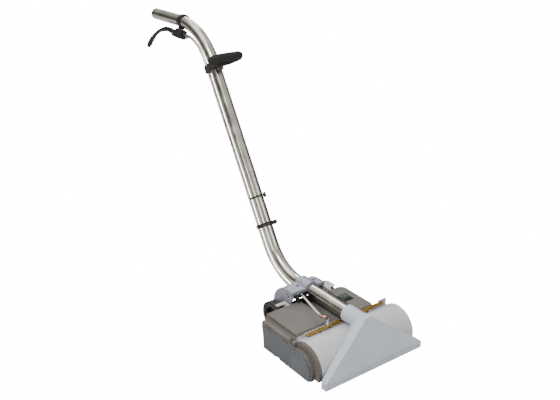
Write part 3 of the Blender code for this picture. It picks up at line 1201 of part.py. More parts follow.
# ---- brush unit: bracket pivot and wheels -----------------------------------------------------------------
def pivot_bolt(name, outer_x, side):
    """A shoulder bolt that a cheek turns on. side is -1 for the left."""
    head, shank = outer_x + side * GAP, outer_x - side * (CHEEK_WIDTH + GAP + EAR_WIDTH + 0.002)
    profile = [(shank, 0), (shank, PIVOT_BOLT_RADIUS), (head, PIVOT_BOLT_RADIUS), (head, 0.0085),
               (head + side * 0.0025, 0.0085), (head + side * 0.0035, 0.0070), (head + side * 0.0035, 0.0030),
               (head + side * 0.0015, 0.0030), (head + side * 0.0015, 0)]
    return turned(name, profile, "X", (0, PIVOT_Y, PIVOT_Z), "steel", SMALL)


def wheel_axle():
    reach = WHEEL_OUTER_X + 0.005
    return cylinder("wheel_axle", "X", (0, AXLE_Y, AXLE_Z), -reach, reach, AXLE_RADIUS, "steel", SMALL)


def axle_cap(name, side):
    """A push-on cap that keeps a wheel on the axle."""
    inner, end = WHEEL_OUTER_X + GAP, WHEEL_OUTER_X + 0.005 + GAP
    room = AXLE_RADIUS + GAP
    profile = [(side * end, 0), (side * end, room), (side * inner, room), (side * inner, 0.0095),
               (side * (end + 0.0005), 0.0090), (side * (end + 0.002), 0.0070), (side * (end + 0.002), 0)]
    return turned(name, profile, "X", (0, AXLE_Y, AXLE_Z), "steel", SMALL)


def tyre(name, side):
    low, high = sorted((side * WHEEL_INNER_X, side * WHEEL_OUTER_X))
    inner = WHEEL_RADIUS - TYRE_THICKNESS
    edge = 0.004
    profile = [(low, inner), (low, WHEEL_RADIUS - edge), (low + edge * 0.4, WHEEL_RADIUS - edge * 0.4),
               (low + edge, WHEEL_RADIUS), (high - edge, WHEEL_RADIUS), (high - edge * 0.4, WHEEL_RADIUS - edge * 0.4),
               (high, WHEEL_RADIUS - edge), (high, inner)]
    return turned(name, profile, "X", (0, AXLE_Y, AXLE_Z), "rubber", 36)


def hub(name, side):
    """A dished wheel centre, hollow towards the outside."""
    inner_x, outer_x = WHEEL_INNER_X + 0.001, WHEEL_OUTER_X
    radius, bore, boss = WHEEL_RADIUS - TYRE_THICKNESS - GAP, AXLE_RADIUS + RUN, 0.010
    profile = [(inner_x, bore), (inner_x, radius), (outer_x - 0.002, radius), (outer_x - 0.002, radius - 0.004),
               (inner_x + 0.008, radius - 0.005), (inner_x + 0.008, boss), (outer_x, boss), (outer_x, bore)]
    profile = [(side * distance, r) for distance, r in profile]
    return turned(name, profile, "X", (0, AXLE_Y, AXLE_Z), "black_plastic", ROUND)


# ---- assembly ---------------------------------------------------------------------------------------------
def hang(name, place, pieces):
    """Parents pieces to an empty on their joint's axis, and puts their origins there too."""
    place = Vector(place)
    empty = bpy.data.objects.new(name, None)
    empty.empty_display_size = 0.03
    empty.location = place
    bpy.context.scene.collection.objects.link(empty)
    for piece in pieces:
        piece.data.transform(Matrix.Translation(-place))
        piece.parent = empty
    return empty


def build():
    clear_scene()
    frame = trigger_frame()
    wand = [wand_tube(), vacuum_shoe(), clamp_cap(), clamp_base(), cheek_with_marks(),
            cheek("cheek_right", CHEEK_RIGHT_X, CHEEK_RIGHT_X - CHEEK_WIDTH),
            cap_screw("cap_screw_left", -SCREW_X), cap_screw("cap_screw_right", SCREW_X),
            solution_tube(), lower_clip(), upper_clip(), trigger_clamp(), valve_body(), valve_outlet(),
            solution_inlet(), lever_pin()]
    lever = [trigger_lever()]
    plunger = [valve_plunger()]
    handle = [loop_handle(), handle_clamp(), handle_screw()]
    unit = [base_frame(), motor_cover(), belt_housing(), belt_cover(), belt_cover_screw(), brush_hood(),
            hood_end_cap(), brush_bearing("brush_bearing_left", HOOD_LEFT_X + GAP),
            brush_bearing("brush_bearing_right", HOOD_RIGHT_X - BEARING_WIDTH), drive_belt(), motor_can(),
            motor_end_cap(), spray_bar(), bar_plug("bar_plug_left", BAR_LEFT_X, -1),
            bar_plug("bar_plug_right", BAR_RIGHT_X, 1), nozzle("nozzle_left", -NOZZLE_X),
            nozzle("nozzle_right", NOZZLE_X), spray_post(), spray_elbow(), spray_hose(), hose_manifold(),
            switch_bezel(), wheel_axle(), axle_cap("axle_cap_left", -1), axle_cap("axle_cap_right", 1),
            pivot_bolt("pivot_bolt_left", CHEEK_LEFT_X, -1), pivot_bolt("pivot_bolt_right", CHEEK_RIGHT_X, 1),
            mains_inlet_gland()]
    brush = [brush_shaft(), brush_bristles(),
             pulley("brush_pulley", (0, BRUSH_Y, BRUSH_Z), BRUSH_PULLEY_RADIUS, BRUSH_SHAFT_RADIUS + GAP)]
    motor = [motor_rotor(),
             pulley("drive_pulley", (0, MOTOR_Y, MOTOR_Z), DRIVE_PULLEY_RADIUS, MOTOR_SHAFT_RADIUS + GAP)]
    hang("wand_pivot", (0, PIVOT_Y, PIVOT_Z), wand)
    hang("lever_pivot", frame @ Vector((0, LEVER_PIVOT[0], -LEVER_PIVOT[1])), lever)
    hang("plunger_slide", frame @ Vector((0, 0, -PLUNGER_DROP)), plunger)
    hang("handle_slide", lance_frame(HANDLE_AT).translation, handle)
    hang("brush_unit", (0, 0, 0), unit)
    hang("brush_axis", (0, BRUSH_Y, BRUSH_Z), brush)
    hang("motor_axis", (0, MOTOR_Y, MOTOR_Z), motor)
    hang("rocker_axis", rocker_pivot(), [switch_rocker()])
    for name, side in (("left", -1), ("right", 1)):
        hang(f"{name}_wheel_axis", (0, AXLE_Y, AXLE_Z), [tyre(f"tyre_{name}", side), hub(f"hub_{name}", side)])


build()
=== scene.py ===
# %% [markdown]
# # A power-brush carpet cleaning wand
#
# The machine is an S-shaped steel lance with a fishtail vacuum shoe at its foot. A bracket hangs the lance on a
# small wheeled unit, where a motor and belt turn a brush under a hood, and a brass bar sprays the carpet.
# The solid parts are loaded ready made. This lesson gives each of them its finish, and remakes the few whose
# surface needs finer work: the tubes, the foam grip, the brush, the tyres and the thin hose.

# %% Load the machine
from math import cos, pi, radians, sin

import bmesh
import bpy
from mathutils import Matrix, Vector


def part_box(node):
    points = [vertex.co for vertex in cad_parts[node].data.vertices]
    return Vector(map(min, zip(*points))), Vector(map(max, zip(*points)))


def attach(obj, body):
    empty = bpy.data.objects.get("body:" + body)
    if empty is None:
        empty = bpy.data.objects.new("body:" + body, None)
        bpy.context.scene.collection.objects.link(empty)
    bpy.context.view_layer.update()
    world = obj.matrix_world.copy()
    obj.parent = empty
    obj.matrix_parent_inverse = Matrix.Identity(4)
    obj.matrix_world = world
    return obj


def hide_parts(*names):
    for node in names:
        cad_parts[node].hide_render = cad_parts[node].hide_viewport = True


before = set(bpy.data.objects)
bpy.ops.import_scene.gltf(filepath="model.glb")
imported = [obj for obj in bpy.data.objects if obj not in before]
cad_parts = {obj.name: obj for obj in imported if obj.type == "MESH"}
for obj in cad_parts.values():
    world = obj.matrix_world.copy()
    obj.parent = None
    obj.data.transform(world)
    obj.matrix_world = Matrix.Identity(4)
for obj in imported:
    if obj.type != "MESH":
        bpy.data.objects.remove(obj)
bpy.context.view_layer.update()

# %% [markdown]
# ## The line of the lance
#
# The lance is one tube with two bends, so its centreline is all that is needed to draw it: a level leg inside the
# shoe's collar, a bend up, a long straight, and a bend back to a level grip. Arcs are worked out from their
# radius, because a bent tube keeps a true radius, where a free curve would wander.

# %% Centreline of the lance
TUBE_RADIUS = 0.01905
TUBE_WALL = 0.0016
LEG_START_Y = 0.080
LEG_Z = 0.120
LOWER_BEND_Y = 0.348
LOWER_BEND_RADIUS = 0.165
RISE = radians(58.75)
STRAIGHT_LENGTH = 0.599
UPPER_BEND_RADIUS = 0.226
GRIP_LENGTH = 0.181


def bend(start, direction, radius, turn, steps):
    """Points of an arc in the plane X = 0. A positive turn goes up."""
    side = 1 if turn > 0 else -1
    centre_y = start.y - side * radius * sin(direction)
    centre_z = start.z + side * radius * cos(direction)
    points = []
    for step in range(1, steps + 1):
        angle = direction + turn * step / steps
        points.append(Vector((0, centre_y + side * radius * sin(angle), centre_z - side * radius * cos(angle))))
    return points


leg_start = Vector((0, LEG_START_Y, LEG_Z))
lower_start = Vector((0, LOWER_BEND_Y, LEG_Z))
lower_bend = bend(lower_start, 0, LOWER_BEND_RADIUS, RISE, 28)
up_lance = Vector((0, cos(RISE), sin(RISE)))
behind_lance = Vector((0, sin(RISE), -cos(RISE)))
upper_start = lower_bend[-1] + STRAIGHT_LENGTH * up_lance
upper_bend = bend(upper_start, RISE, UPPER_BEND_RADIUS, -RISE, 32)
grip_start = upper_bend[-1]
grip_end = grip_start + Vector((0, GRIP_LENGTH, 0))
lance_line = [leg_start, lower_start] + lower_bend + [upper_start] + upper_bend + [grip_end]
lance_length = sum((b - a).length for a, b in zip(lance_line, lance_line[1:]))
print("lance:", round(lance_length, 3), "m along its centre; grip height", round(grip_start.z, 3), "m")

# %% [markdown]
# ## Two ways to make a round piece
#
# Nearly everything here is a tube along a line or a profile turned about an axis. Both are written once, as mesh
# code, so that every tube gets enough sides to look round, and a map of its surface: how far round and how far
# along. The map lets a brushed finish follow the tube.

# %% Tube and turning helpers


def piece_from(name, points, faces, maps=None):
    """A smooth-shaded object from points and faces, with an optional surface map for each face corner."""
    mesh = bpy.data.meshes.new(name)
    mesh.from_pydata([tuple(point) for point in points], [], faces)
    if maps:
        layer = mesh.uv_layers.new(name="along")
        for loop, spot in zip(layer.data, [spot for face in maps for spot in face]):
            loop.uv = spot
    mesh.shade_smooth()
    mesh.set_sharp_from_angle(angle=radians(35))
    piece = bpy.data.objects.new(name, mesh)
    bpy.context.scene.collection.objects.link(piece)
    return piece


def face_outwards(piece):
    """Turns every face of a closed piece to look outwards."""
    work = bmesh.new()
    work.from_mesh(piece.data)
    bmesh.ops.recalc_face_normals(work, faces=work.faces)
    work.to_mesh(piece.data)
    work.free()
    return piece


def directions(line, closed=False):
    """The direction of a line at each of its points."""
    count = len(line)
    found = []
    for k in range(count):
        before = line[k - 1] if k or closed else line[k]
        after = line[(k + 1) % count] if k < count - 1 or closed else line[k]
        found.append((after - before).normalized())
    return found


def tube_along(name, line, radii, sides, bore=0.0, across=Vector((1, 0, 0)), closed=False):
    """A tube or rod. radii is one radius, or one for each point of the line."""
    radii = radii if isinstance(radii, (list, tuple)) else [radii] * len(line)
    points, skins = [], []
    lengths = [0.0]
    for a, b in zip(line, line[1:]):
        lengths.append(lengths[-1] + (b - a).length)
    for shrink in ([0.0, radii[0] - bore] if bore else [0.0]):
        rings = []
        for centre, along, radius in zip(line, directions(line, closed), radii):
            side = (across - across.dot(along) * along).normalized()
            up = along.cross(side)
            rings.append(range(len(points), len(points) + sides))
            for k in range(sides):
                turn = 2 * pi * k / sides
                points.append(centre + (radius - shrink) * (cos(turn) * side + sin(turn) * up))
        skins.append(rings)
    faces, maps = [], []
    for rings in skins:
        pairs = list(zip(rings, rings[1:])) + ([(rings[-1], rings[0])] if closed else [])
        for row, (one, two) in enumerate(pairs):
            low, high = lengths[row], lengths[min(row + 1, len(lengths) - 1)]
            for k in range(sides):
                n = (k + 1) % sides
                faces.append((one[k], one[n], two[n], two[k]))
                maps.append(((k / sides, low), ((k + 1) / sides, low), ((k + 1) / sides, high), (k / sides, high)))
    if bore:
        for end in (0, -1):
            outer, inner = skins[0][end], skins[1][end]
            for k in range(sides):
                n = (k + 1) % sides
                faces.append((outer[k], outer[n], inner[n], inner[k]))
                maps.append(((0, 0), (0, 0), (0, 0), (0, 0)))
    elif not closed:
        for end in (0, -1):
            faces.append(tuple(skins[0][end]))
            maps.append(((0, 0),) * sides)
    return face_outwards(piece_from(name, points, faces, maps))


def turned(name, profile, axis, centre, sides=64, place=None):
    """A closed profile of (distance, radius) turned about an axis through a centre."""
    along = {"X": Vector((1, 0, 0)), "Y": Vector((0, 1, 0)), "Z": Vector((0, 0, 1))}[axis]
    across = Vector((0, 1, 0)) if axis == "X" else Vector((1, 0, 0))
    up = along.cross(across)
    points = []
    for distance, radius in profile:
        middle = Vector(centre) + distance * along
        for k in range(sides):
            turn = 2 * pi * k / sides
            points.append(middle + radius * (cos(turn) * across + sin(turn) * up))
    faces, maps = [], []
    count = len(profile)
    for row in range(count):
        one, two = row * sides, ((row + 1) % count) * sides
        for k in range(sides):
            n = (k + 1) % sides
            faces.append((one + k, one + n, two + n, two + k))
            maps.append(((k / sides, row / count), ((k + 1) / sides, row / count),
                         ((k + 1) / sides, (row + 1) / count), (k / sides, (row + 1) / count)))
    piece = piece_from(name, points, faces, maps)
    if place is not None:
        piece.data.transform(place)
    return face_outwards(piece)


def ring_profile(low, high, inner, outer, edge, steps=3):
    """A band with rounded outer edges, for turning."""
    profile = [(low, inner)]
    for k in range(steps + 1):
        turn = pi / 2 * k / steps
        profile.append((low + edge * (1 - sin(turn)), outer - edge * (1 - cos(pi / 2 - turn))))
    for k in range(steps + 1):
        turn = pi / 2 * k / steps
        profile.append((high - edge * (1 - cos(turn)), outer - edge * (1 - sin(pi / 2 - turn))))
    return profile + [(high, inner)]


print("helpers ready: tube_along, turned, ring_profile")

# %% [markdown]
# ## How a finish is built
#
# No real surface is one flat colour. Each finish here starts from the same three layers: a broad, soft change of
# colour, a fine grain that catches the light, and gloss that varies a little from place to place. All three are
# noise, read from the piece's own coordinates in metres, so the grain keeps its true size on every piece.

# %% Shader helpers


def start_material(name):
    """A new material, with its nodes, its links and its main shader."""
    made = bpy.data.materials.new(name)
    made.use_nodes = True
    return made, made.node_tree.nodes, made.node_tree.links, made.node_tree.nodes["Principled BSDF"]


def noise(nodes, links, where, scale, detail=3.0, stretch=None):
    """Noise of a given fineness, stretched by different amounts along each axis if asked."""
    texture = nodes.new("ShaderNodeTexNoise")
    texture.inputs["Scale"].default_value = scale
    texture.inputs["Detail"].default_value = detail
    if stretch:
        mapping = nodes.new("ShaderNodeMapping")
        mapping.inputs["Scale"].default_value = stretch
        links.new(where, mapping.inputs["Vector"])
        where = mapping.outputs["Vector"]
    links.new(where, texture.inputs["Vector"])
    return texture.outputs["Fac"]


def ramp(nodes, links, value, stops):
    """Turns a value into colours: stops is a list of (position, (r, g, b))."""
    node = nodes.new("ShaderNodeValToRGB")
    node.color_ramp.elements[0].position = stops[0][0]
    node.color_ramp.elements[0].color = (*stops[0][1], 1)
    node.color_ramp.elements[1].position = stops[-1][0]
    node.color_ramp.elements[1].color = (*stops[-1][1], 1)
    for position, colour in stops[1:-1]:
        node.color_ramp.elements.new(position).color = (*colour, 1)
    links.new(value, node.inputs["Fac"])
    return node.outputs["Color"]


def between(nodes, links, value, low, high, start=0.35, end=0.65):
    """Spreads a noise value over a range of numbers, such as roughness."""
    node = nodes.new("ShaderNodeMapRange")
    node.inputs["From Min"].default_value = start
    node.inputs["From Max"].default_value = end
    node.inputs["To Min"].default_value = low
    node.inputs["To Max"].default_value = high
    links.new(value, node.inputs["Value"])
    return node.outputs["Result"]


def mixed(nodes, links, amount, first, second, how="MIX"):
    """Blends two colours by an amount. Each colour is a socket or three numbers."""
    node = nodes.new("ShaderNodeMix")
    node.data_type = "RGBA"
    node.blend_type = how
    for source, socket in ((first, node.inputs["A"]), (second, node.inputs["B"])):
        if isinstance(source, tuple):
            socket.default_value = (*source, 1)
        else:
            links.new(source, socket)
    if isinstance(amount, float):
        node.inputs["Factor"].default_value = amount
    else:
        links.new(amount, node.inputs["Factor"])
    return node.outputs["Result"]


def bump(nodes, links, shader, height, depth, strength=1.0, below=None):
    """Raises the surface by a height that is read in metres. below is an earlier bump to add to."""
    node = nodes.new("ShaderNodeBump")
    node.inputs["Distance"].default_value = depth
    node.inputs["Strength"].default_value = strength
    links.new(height, node.inputs["Height"])
    if below is not None:
        links.new(below, node.inputs["Normal"])
    links.new(node.outputs["Normal"], shader.inputs["Normal"])
    return node.outputs["Normal"]


def coordinates(nodes, kind="Object"):
    """Where on the piece a point lies, in metres, or on its map if kind is UV."""
    return nodes.new("ShaderNodeTexCoord").outputs[kind]


print("shader helpers ready")

# %% [markdown]
# ## Polished stainless tube
#
# The lance is drawn stainless tube, polished along its length. A mirror-smooth metal would look like glass, so fine
# streaks run along the tube, and soft blotches dull it where hands and carpet have rubbed. The tube's own map gives
# the direction: the noise is squeezed round the tube and drawn out along it.

# %% Stainless finish
STEEL_TINT = (0.56, 0.525, 0.46)


def stainless(name, length_scale):
    made, nodes, links, shader = start_material(name)
    spot = coordinates(nodes, "UV")
    streaks = noise(nodes, links, spot, 4.0, 4.0, (60.0, length_scale, 1.0))
    clouds = noise(nodes, links, coordinates(nodes), 26.0, 4.0)
    tint = ramp(nodes, links, clouds, [(0.3, (0.44, 0.41, 0.35)), (0.55, STEEL_TINT), (0.75, (0.64, 0.61, 0.55))])
    links.new(mixed(nodes, links, between(nodes, links, streaks, 0.0, 0.35), tint, (0.42, 0.40, 0.37)),
              shader.inputs["Base Color"])
    links.new(between(nodes, links, clouds, 0.15, 0.27), shader.inputs["Roughness"])
    shader.inputs["Metallic"].default_value = 1.0
    bump(nodes, links, shader, streaks, 0.00003, 0.35)
    return made


tube_steel = stainless("polished_stainless", 5.0)
thin_steel = stainless("solution_line_stainless", 9.0)
print("stainless finishes:", tube_steel.name, thin_steel.name)

# %% [markdown]
# ## Satin coat
#
# The shoe, the hood and the rear frame carry a satin coat over metal. One flat grey would do from far off, but up
# close sprayed paint keeps a slight ripple, and it is scuffed low down where it meets the carpet. So the coat has a
# fine bump, and scratches that fade out with height, which needs no extra geometry.

# %% Satin coat


def satin_coat(name, colour, scuffed, rough, scuff_height):
    """A sprayed coat that is scuffed towards the floor."""
    made, nodes, links, shader = start_material(name)
    spot = coordinates(nodes)
    soft = noise(nodes, links, spot, 9.0, 3.0)
    lighter = tuple(min(1.0, 1.06 * part) for part in colour)
    darker = tuple(0.93 * part for part in colour)
    coat = ramp(nodes, links, soft, [(0.3, darker), (0.7, lighter)])
    parts = nodes.new("ShaderNodeSeparateXYZ")
    links.new(spot, parts.inputs["Vector"])
    low_down = between(nodes, links, parts.outputs["Z"], 0.55, 0.0, 0.0, scuff_height)
    scratches = noise(nodes, links, spot, 60.0, 6.0, (0.35, 1.6, 2.4))
    worn = between(nodes, links, scratches, 0.0, 1.0, 0.52, 0.70)
    where = nodes.new("ShaderNodeMath")
    where.operation = "MULTIPLY"
    links.new(low_down, where.inputs[0])
    links.new(worn, where.inputs[1])
    links.new(mixed(nodes, links, where.outputs["Value"], coat, scuffed), shader.inputs["Base Color"])
    links.new(between(nodes, links, scratches, rough - 0.05, rough + 0.10), shader.inputs["Roughness"])
    ripple = noise(nodes, links, spot, 420.0, 2.0)
    bump(nodes, links, shader, ripple, 0.00006, 0.35)
    return made


shoe_coat = satin_coat("shoe_satin_coat", (0.47, 0.515, 0.575), (0.28, 0.29, 0.30), 0.42, 0.05)
hood_coat = satin_coat("hood_satin_coat", (0.50, 0.50, 0.51), (0.40, 0.39, 0.37), 0.40, 0.03)
frame_coat = satin_coat("frame_off_white_coat", (0.46, 0.46, 0.45), (0.33, 0.32, 0.30), 0.45, 0.05)
print("coats:", shoe_coat.name, hood_coat.name, frame_coat.name)

# %% [markdown]
# ## Cast alloy
#
# The bracket is cast and tumbled, so it sparkles in small grains. Noise alone would give soft clouds. A cell pattern
# gives separate facets, so the two are multiplied. The pulleys and the motor's iron use the same recipe with other
# colours.

# %% Cast alloy with sparkle


def cast_alloy(name, colour, dark, sparkle):
    """A dull metal whose grains run from dark through its colour to sparkle."""
    made, nodes, links, shader = start_material(name)
    spot = coordinates(nodes)
    cells = nodes.new("ShaderNodeTexVoronoi")
    cells.inputs["Scale"].default_value = 900.0
    links.new(spot, cells.inputs["Vector"])
    grain = noise(nodes, links, spot, 650.0, 4.0)
    base = ramp(nodes, links, grain, [(0.30, dark), (0.50, colour), (0.72, sparkle)])
    facet = ramp(nodes, links, cells.outputs["Distance"], [(0.0, (0.80, 0.80, 0.80)), (0.5, (1.0, 1.0, 1.0))])
    links.new(mixed(nodes, links, 0.55, base, facet, "MULTIPLY"), shader.inputs["Base Color"])
    links.new(between(nodes, links, grain, 0.38, 0.62), shader.inputs["Roughness"])
    shader.inputs["Metallic"].default_value = 0.55
    bump(nodes, links, shader, grain, 0.00025, 0.5)
    return made


bracket_alloy = cast_alloy("bracket_cast_alloy", (0.28, 0.30, 0.35), (0.11, 0.12, 0.155), (0.66, 0.68, 0.75))
roller_alloy = cast_alloy("turned_alloy", (0.50, 0.50, 0.51), (0.40, 0.40, 0.41), (0.60, 0.60, 0.61))
motor_iron = cast_alloy("varnished_iron", (0.14, 0.14, 0.15), (0.08, 0.08, 0.085), (0.22, 0.22, 0.23))
print("cast finishes:", bracket_alloy.name, roller_alloy.name, motor_iron.name)

# %% [markdown]
# ## Moulded plastic
#
# The covers are moulded in tools that were spark-eroded to a fine, even leather-like grain. That grain is what
# makes plastic look like plastic: close up it breaks the highlight into points. Black fittings have a finer grain
# and a touch more gloss. A little dust lies where a cloth doesn't reach, so the colour is never quite even.

# %% Moulded plastics


def moulded(name, colour, rough, grain_scale=1500.0, grain_depth=0.00012, drift=0.10):
    """A grained plastic. drift is how far dust and depth pull its colour about."""
    made, nodes, links, shader = start_material(name)
    spot = coordinates(nodes)
    broad = noise(nodes, links, spot, 7.0, 4.0)
    dusty = tuple(part * (1 - drift) + 0.5 * drift for part in colour)
    deep = tuple(part * (1 - drift) for part in colour)
    links.new(ramp(nodes, links, broad, [(0.32, deep), (0.5, colour), (0.72, dusty)]), shader.inputs["Base Color"])
    grain = noise(nodes, links, spot, grain_scale, 2.0)
    links.new(between(nodes, links, broad, rough - 0.06, rough + 0.08), shader.inputs["Roughness"])
    bump(nodes, links, shader, grain, grain_depth, 0.45)
    return made


taupe_plastic = moulded("moulded_taupe", (0.098, 0.089, 0.077), 0.50, 1100.0)
# The belt cover is taupe plastic like its housing; this darker, bluer copy of the taupe is painted shade on its
# left-facing side.
taupe_in_painted_shade = moulded("moulded_taupe_painted_shade", (0.066, 0.078, 0.090), 0.48, 1100.0)
black_plastic = moulded("moulded_black", (0.007, 0.007, 0.008), 0.42, 2200.0, 0.00006, 0.03)
belt_rubber = moulded("belt_rubber", (0.018, 0.018, 0.018), 0.70, 900.0, 0.00020, 0.03)
hose_plastic = moulded("hose_cream", (0.62, 0.59, 0.52), 0.38, 700.0, 0.00004, 0.05)
print("plastics:", taupe_plastic.name, taupe_in_painted_shade.name, black_plastic.name)

# %% [markdown]
# ## Green switch
#
# The rocker is a clear green plastic over a lamp. Light goes a little way into it and comes out again, which
# subsurface scattering does. A coat gives the hard, polished top, and its own faint swirl keeps it from being flat.

# %% Switch finish
switch_green, nodes, links, shader = start_material("switch_green")
swirl = noise(nodes, links, coordinates(nodes), 90.0, 3.0)
links.new(ramp(nodes, links, swirl, [(0.3, (0.008, 0.032, 0.015)), (0.7, (0.018, 0.060, 0.030))]),
          shader.inputs["Base Color"])
links.new(between(nodes, links, swirl, 0.16, 0.28), shader.inputs["Roughness"])
shader.inputs["Subsurface Weight"].default_value = 0.25
shader.inputs["Subsurface Scale"].default_value = 0.002
shader.inputs["Coat Weight"].default_value = 0.6
shader.inputs["Coat Roughness"].default_value = 0.08
print("switch finish:", switch_green.name)

# %% [markdown]
# ## Brass, copper and bright steel
#
# The spray bar is drawn brass that has been handled: yellow where it is rubbed and brown in the dull patches.
# The same recipe with other tints makes the copper elbow and the plated screws. Fine lines round the metal come from
# noise that is stretched across the bar.

# %% Small metal finishes


def drawn_metal(name, bright, dull, rough, stretch=(8.0, 1.0, 1.0)):
    """A bare metal with dull patches and fine lines across it."""
    made, nodes, links, shader = start_material(name)
    spot = coordinates(nodes)
    patches = noise(nodes, links, spot, 55.0, 5.0)
    lines = noise(nodes, links, spot, 160.0, 3.0, stretch)
    tint = ramp(nodes, links, patches, [(0.34, dull), (0.60, bright)])
    darker = tuple(0.6 * part for part in dull)
    links.new(mixed(nodes, links, between(nodes, links, lines, 0.0, 0.30), tint, darker), shader.inputs["Base Color"])
    links.new(between(nodes, links, patches, rough + 0.12, rough - 0.05), shader.inputs["Roughness"])
    shader.inputs["Metallic"].default_value = 1.0
    bump(nodes, links, shader, lines, 0.00004, 0.3)
    return made


bar_brass = drawn_metal("drawn_brass", (0.52, 0.33, 0.085), (0.24, 0.135, 0.03), 0.17)
elbow_copper = drawn_metal("elbow_copper", (0.30, 0.16, 0.12), (0.15, 0.07, 0.05), 0.24)
plated_steel = drawn_metal("plated_steel", (0.74, 0.74, 0.73), (0.52, 0.52, 0.52), 0.22)
dark_steel = drawn_metal("blackened_steel", (0.16, 0.16, 0.17), (0.08, 0.08, 0.085), 0.34)
ground_steel = drawn_metal("ground_steel", (0.52, 0.52, 0.52), (0.36, 0.36, 0.36), 0.34)
print("small metals:", bar_brass.name, elbow_copper.name, plated_steel.name, ground_steel.name)

# %% [markdown]
# ## Foam, bristle and tyre rubber
#
# Grip foam is full of tiny cut cells, so its bump comes from a cell pattern. Bristles are dyed nylon, and each tuft
# differs a little, so the colour changes over a few millimetres. Tyre rubber is dull, greyed with dust on the tread.

# %% Foam


def soft_black(name, colour, dust, cell_scale, depth, rough):
    """A dark, pitted stuff such as foam or rubber, greyed in patches by dust."""
    made, nodes, links, shader = start_material(name)
    spot = coordinates(nodes)
    cells = nodes.new("ShaderNodeTexVoronoi")
    cells.inputs["Scale"].default_value = cell_scale
    links.new(spot, cells.inputs["Vector"])
    clouds = noise(nodes, links, spot, 40.0, 4.0)
    links.new(ramp(nodes, links, clouds, [(0.35, colour), (0.75, dust)]), shader.inputs["Base Color"])
    links.new(between(nodes, links, clouds, rough - 0.05, rough + 0.10), shader.inputs["Roughness"])
    pits = bump(nodes, links, shader, cells.outputs["Distance"], depth, 0.8)
    bump(nodes, links, shader, clouds, 0.0006, 0.25, pits)
    return made


grip_foam = soft_black("grip_foam", (0.005, 0.005, 0.005), (0.012, 0.012, 0.012), 900.0, 0.0004, 0.82)
tyre_rubber = soft_black("tyre_rubber", (0.016, 0.016, 0.017), (0.060, 0.058, 0.055), 700.0, 0.00015, 0.72)
bristle_nylon = soft_black("bristle_nylon", (0.045, 0.052, 0.080), (0.100, 0.110, 0.150), 350.0, 0.00010, 0.45)
print("soft finishes:", grip_foam.name, tyre_rubber.name, bristle_nylon.name)

# %% [markdown]
# ## Painted shade on the rear frame
#
# The ends of the rear frame are off-white and show beside the wheels. Between them the frame lies in shade under the
# bracket, and that shade is painted into its colour. The frame is one solid, so it is left whole, and its finish
# turns dark within a distance of the machine's middle. It is simpler to leave it whole and let its finish change
# with the distance from the machine's middle.

# %% Painted shade on the middle of the rear frame
FRAME_SHADE_HALF_WIDTH = 0.0735


def shade_the_middle(made, half_width, dark):
    """Paints shade into a finish: darkens it within a distance of the middle of the machine."""
    nodes, links = made.node_tree.nodes, made.node_tree.links
    shader = nodes["Principled BSDF"]
    source = shader.inputs["Base Color"].links[0].from_socket
    place = nodes.new("ShaderNodeSeparateXYZ")
    links.new(coordinates(nodes), place.inputs["Vector"])
    away = nodes.new("ShaderNodeMath")
    away.operation = "ABSOLUTE"
    links.new(place.outputs["X"], away.inputs[0])
    outside = nodes.new("ShaderNodeMath")
    outside.operation = "GREATER_THAN"
    outside.inputs[1].default_value = half_width
    links.new(away.outputs["Value"], outside.inputs[0])
    links.new(mixed(nodes, links, outside.outputs["Value"], dark, source), shader.inputs["Base Color"])


# The dark blue-black colour is painted shade under the bracket, not a second paint.
shade_the_middle(frame_coat, FRAME_SHADE_HALF_WIDTH, (0.030, 0.032, 0.045))
print("rear frame is dark for", round(2000 * FRAME_SHADE_HALF_WIDTH), "mm across its middle")

# %% [markdown]
# ## Dressing the ready-made solids
#
# Most solids already have the right shape, so they only need their finish. A list of which finish goes on which
# solid is easier to read and to change than a line of code for each.

# %% Put finishes on the solids
dressing = {
    shoe_coat: ["vacuum_shoe"],
    hood_coat: ["brush_hood", "hood_end_cap"],
    frame_coat: ["base_frame"],
    bracket_alloy: ["clamp_cap", "clamp_base", "cheek_left", "cheek_right"],
    taupe_plastic: ["motor_cover", "belt_housing"],
    # Painted shade: the belt cover gets the darker, bluer copy of the taupe.
    taupe_in_painted_shade: ["belt_cover"],
    black_plastic: ["lower_clip", "upper_clip", "trigger_clamp", "valve_body", "valve_outlet", "trigger_lever",
                    "handle_clamp", "handle_screw", "motor_end_cap", "hose_manifold", "switch_bezel",
                    "mains_inlet_gland", "hub_left", "hub_right"],
    bar_brass: ["spray_bar", "bar_plug_left", "bar_plug_right", "nozzle_left", "nozzle_right", "solution_inlet"],
    elbow_copper: ["spray_elbow"],
    dark_steel: ["cap_screw_left", "cap_screw_right", "belt_cover_screw"],
    plated_steel: ["lever_pin", "valve_plunger",
                   "spray_post", "axle_cap_left", "axle_cap_right", "pivot_bolt_left", "pivot_bolt_right"],
    ground_steel: ["wheel_axle", "brush_bearing_left", "brush_bearing_right"],
    roller_alloy: ["brush_shaft", "brush_pulley", "drive_pulley"],
    motor_iron: ["motor_can", "motor_rotor"],
    belt_rubber: ["drive_belt"],
    switch_green: ["switch_rocker"],
}


def dress(thing, made):
    """Gives every material slot of an object one finish."""
    if not thing.material_slots:
        thing.data.materials.append(made)
    for place in thing.material_slots:
        place.material = made


for made, names in dressing.items():
    for name in names:
        dress(bpy.data.objects[name], made)
print("dressed", sum(len(names) for names in dressing.values()), "solids")

# %% [markdown]
# ## The lance
#
# The lance is the polished steel tube that the dirty water goes up. It is remade with many sides, because a polished
# tube shows every flat in its highlight, and its cut end gets a narrow rounded rim of its own that catches the
# light. The helper draws it along the centreline, and it replaces its coarser solid.

# %% Lance
lance = tube_along("lance", lance_line, TUBE_RADIUS, 72, TUBE_RADIUS - TUBE_WALL)
dress(lance, tube_steel)
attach(lance, "wand")
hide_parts("wand_tube")

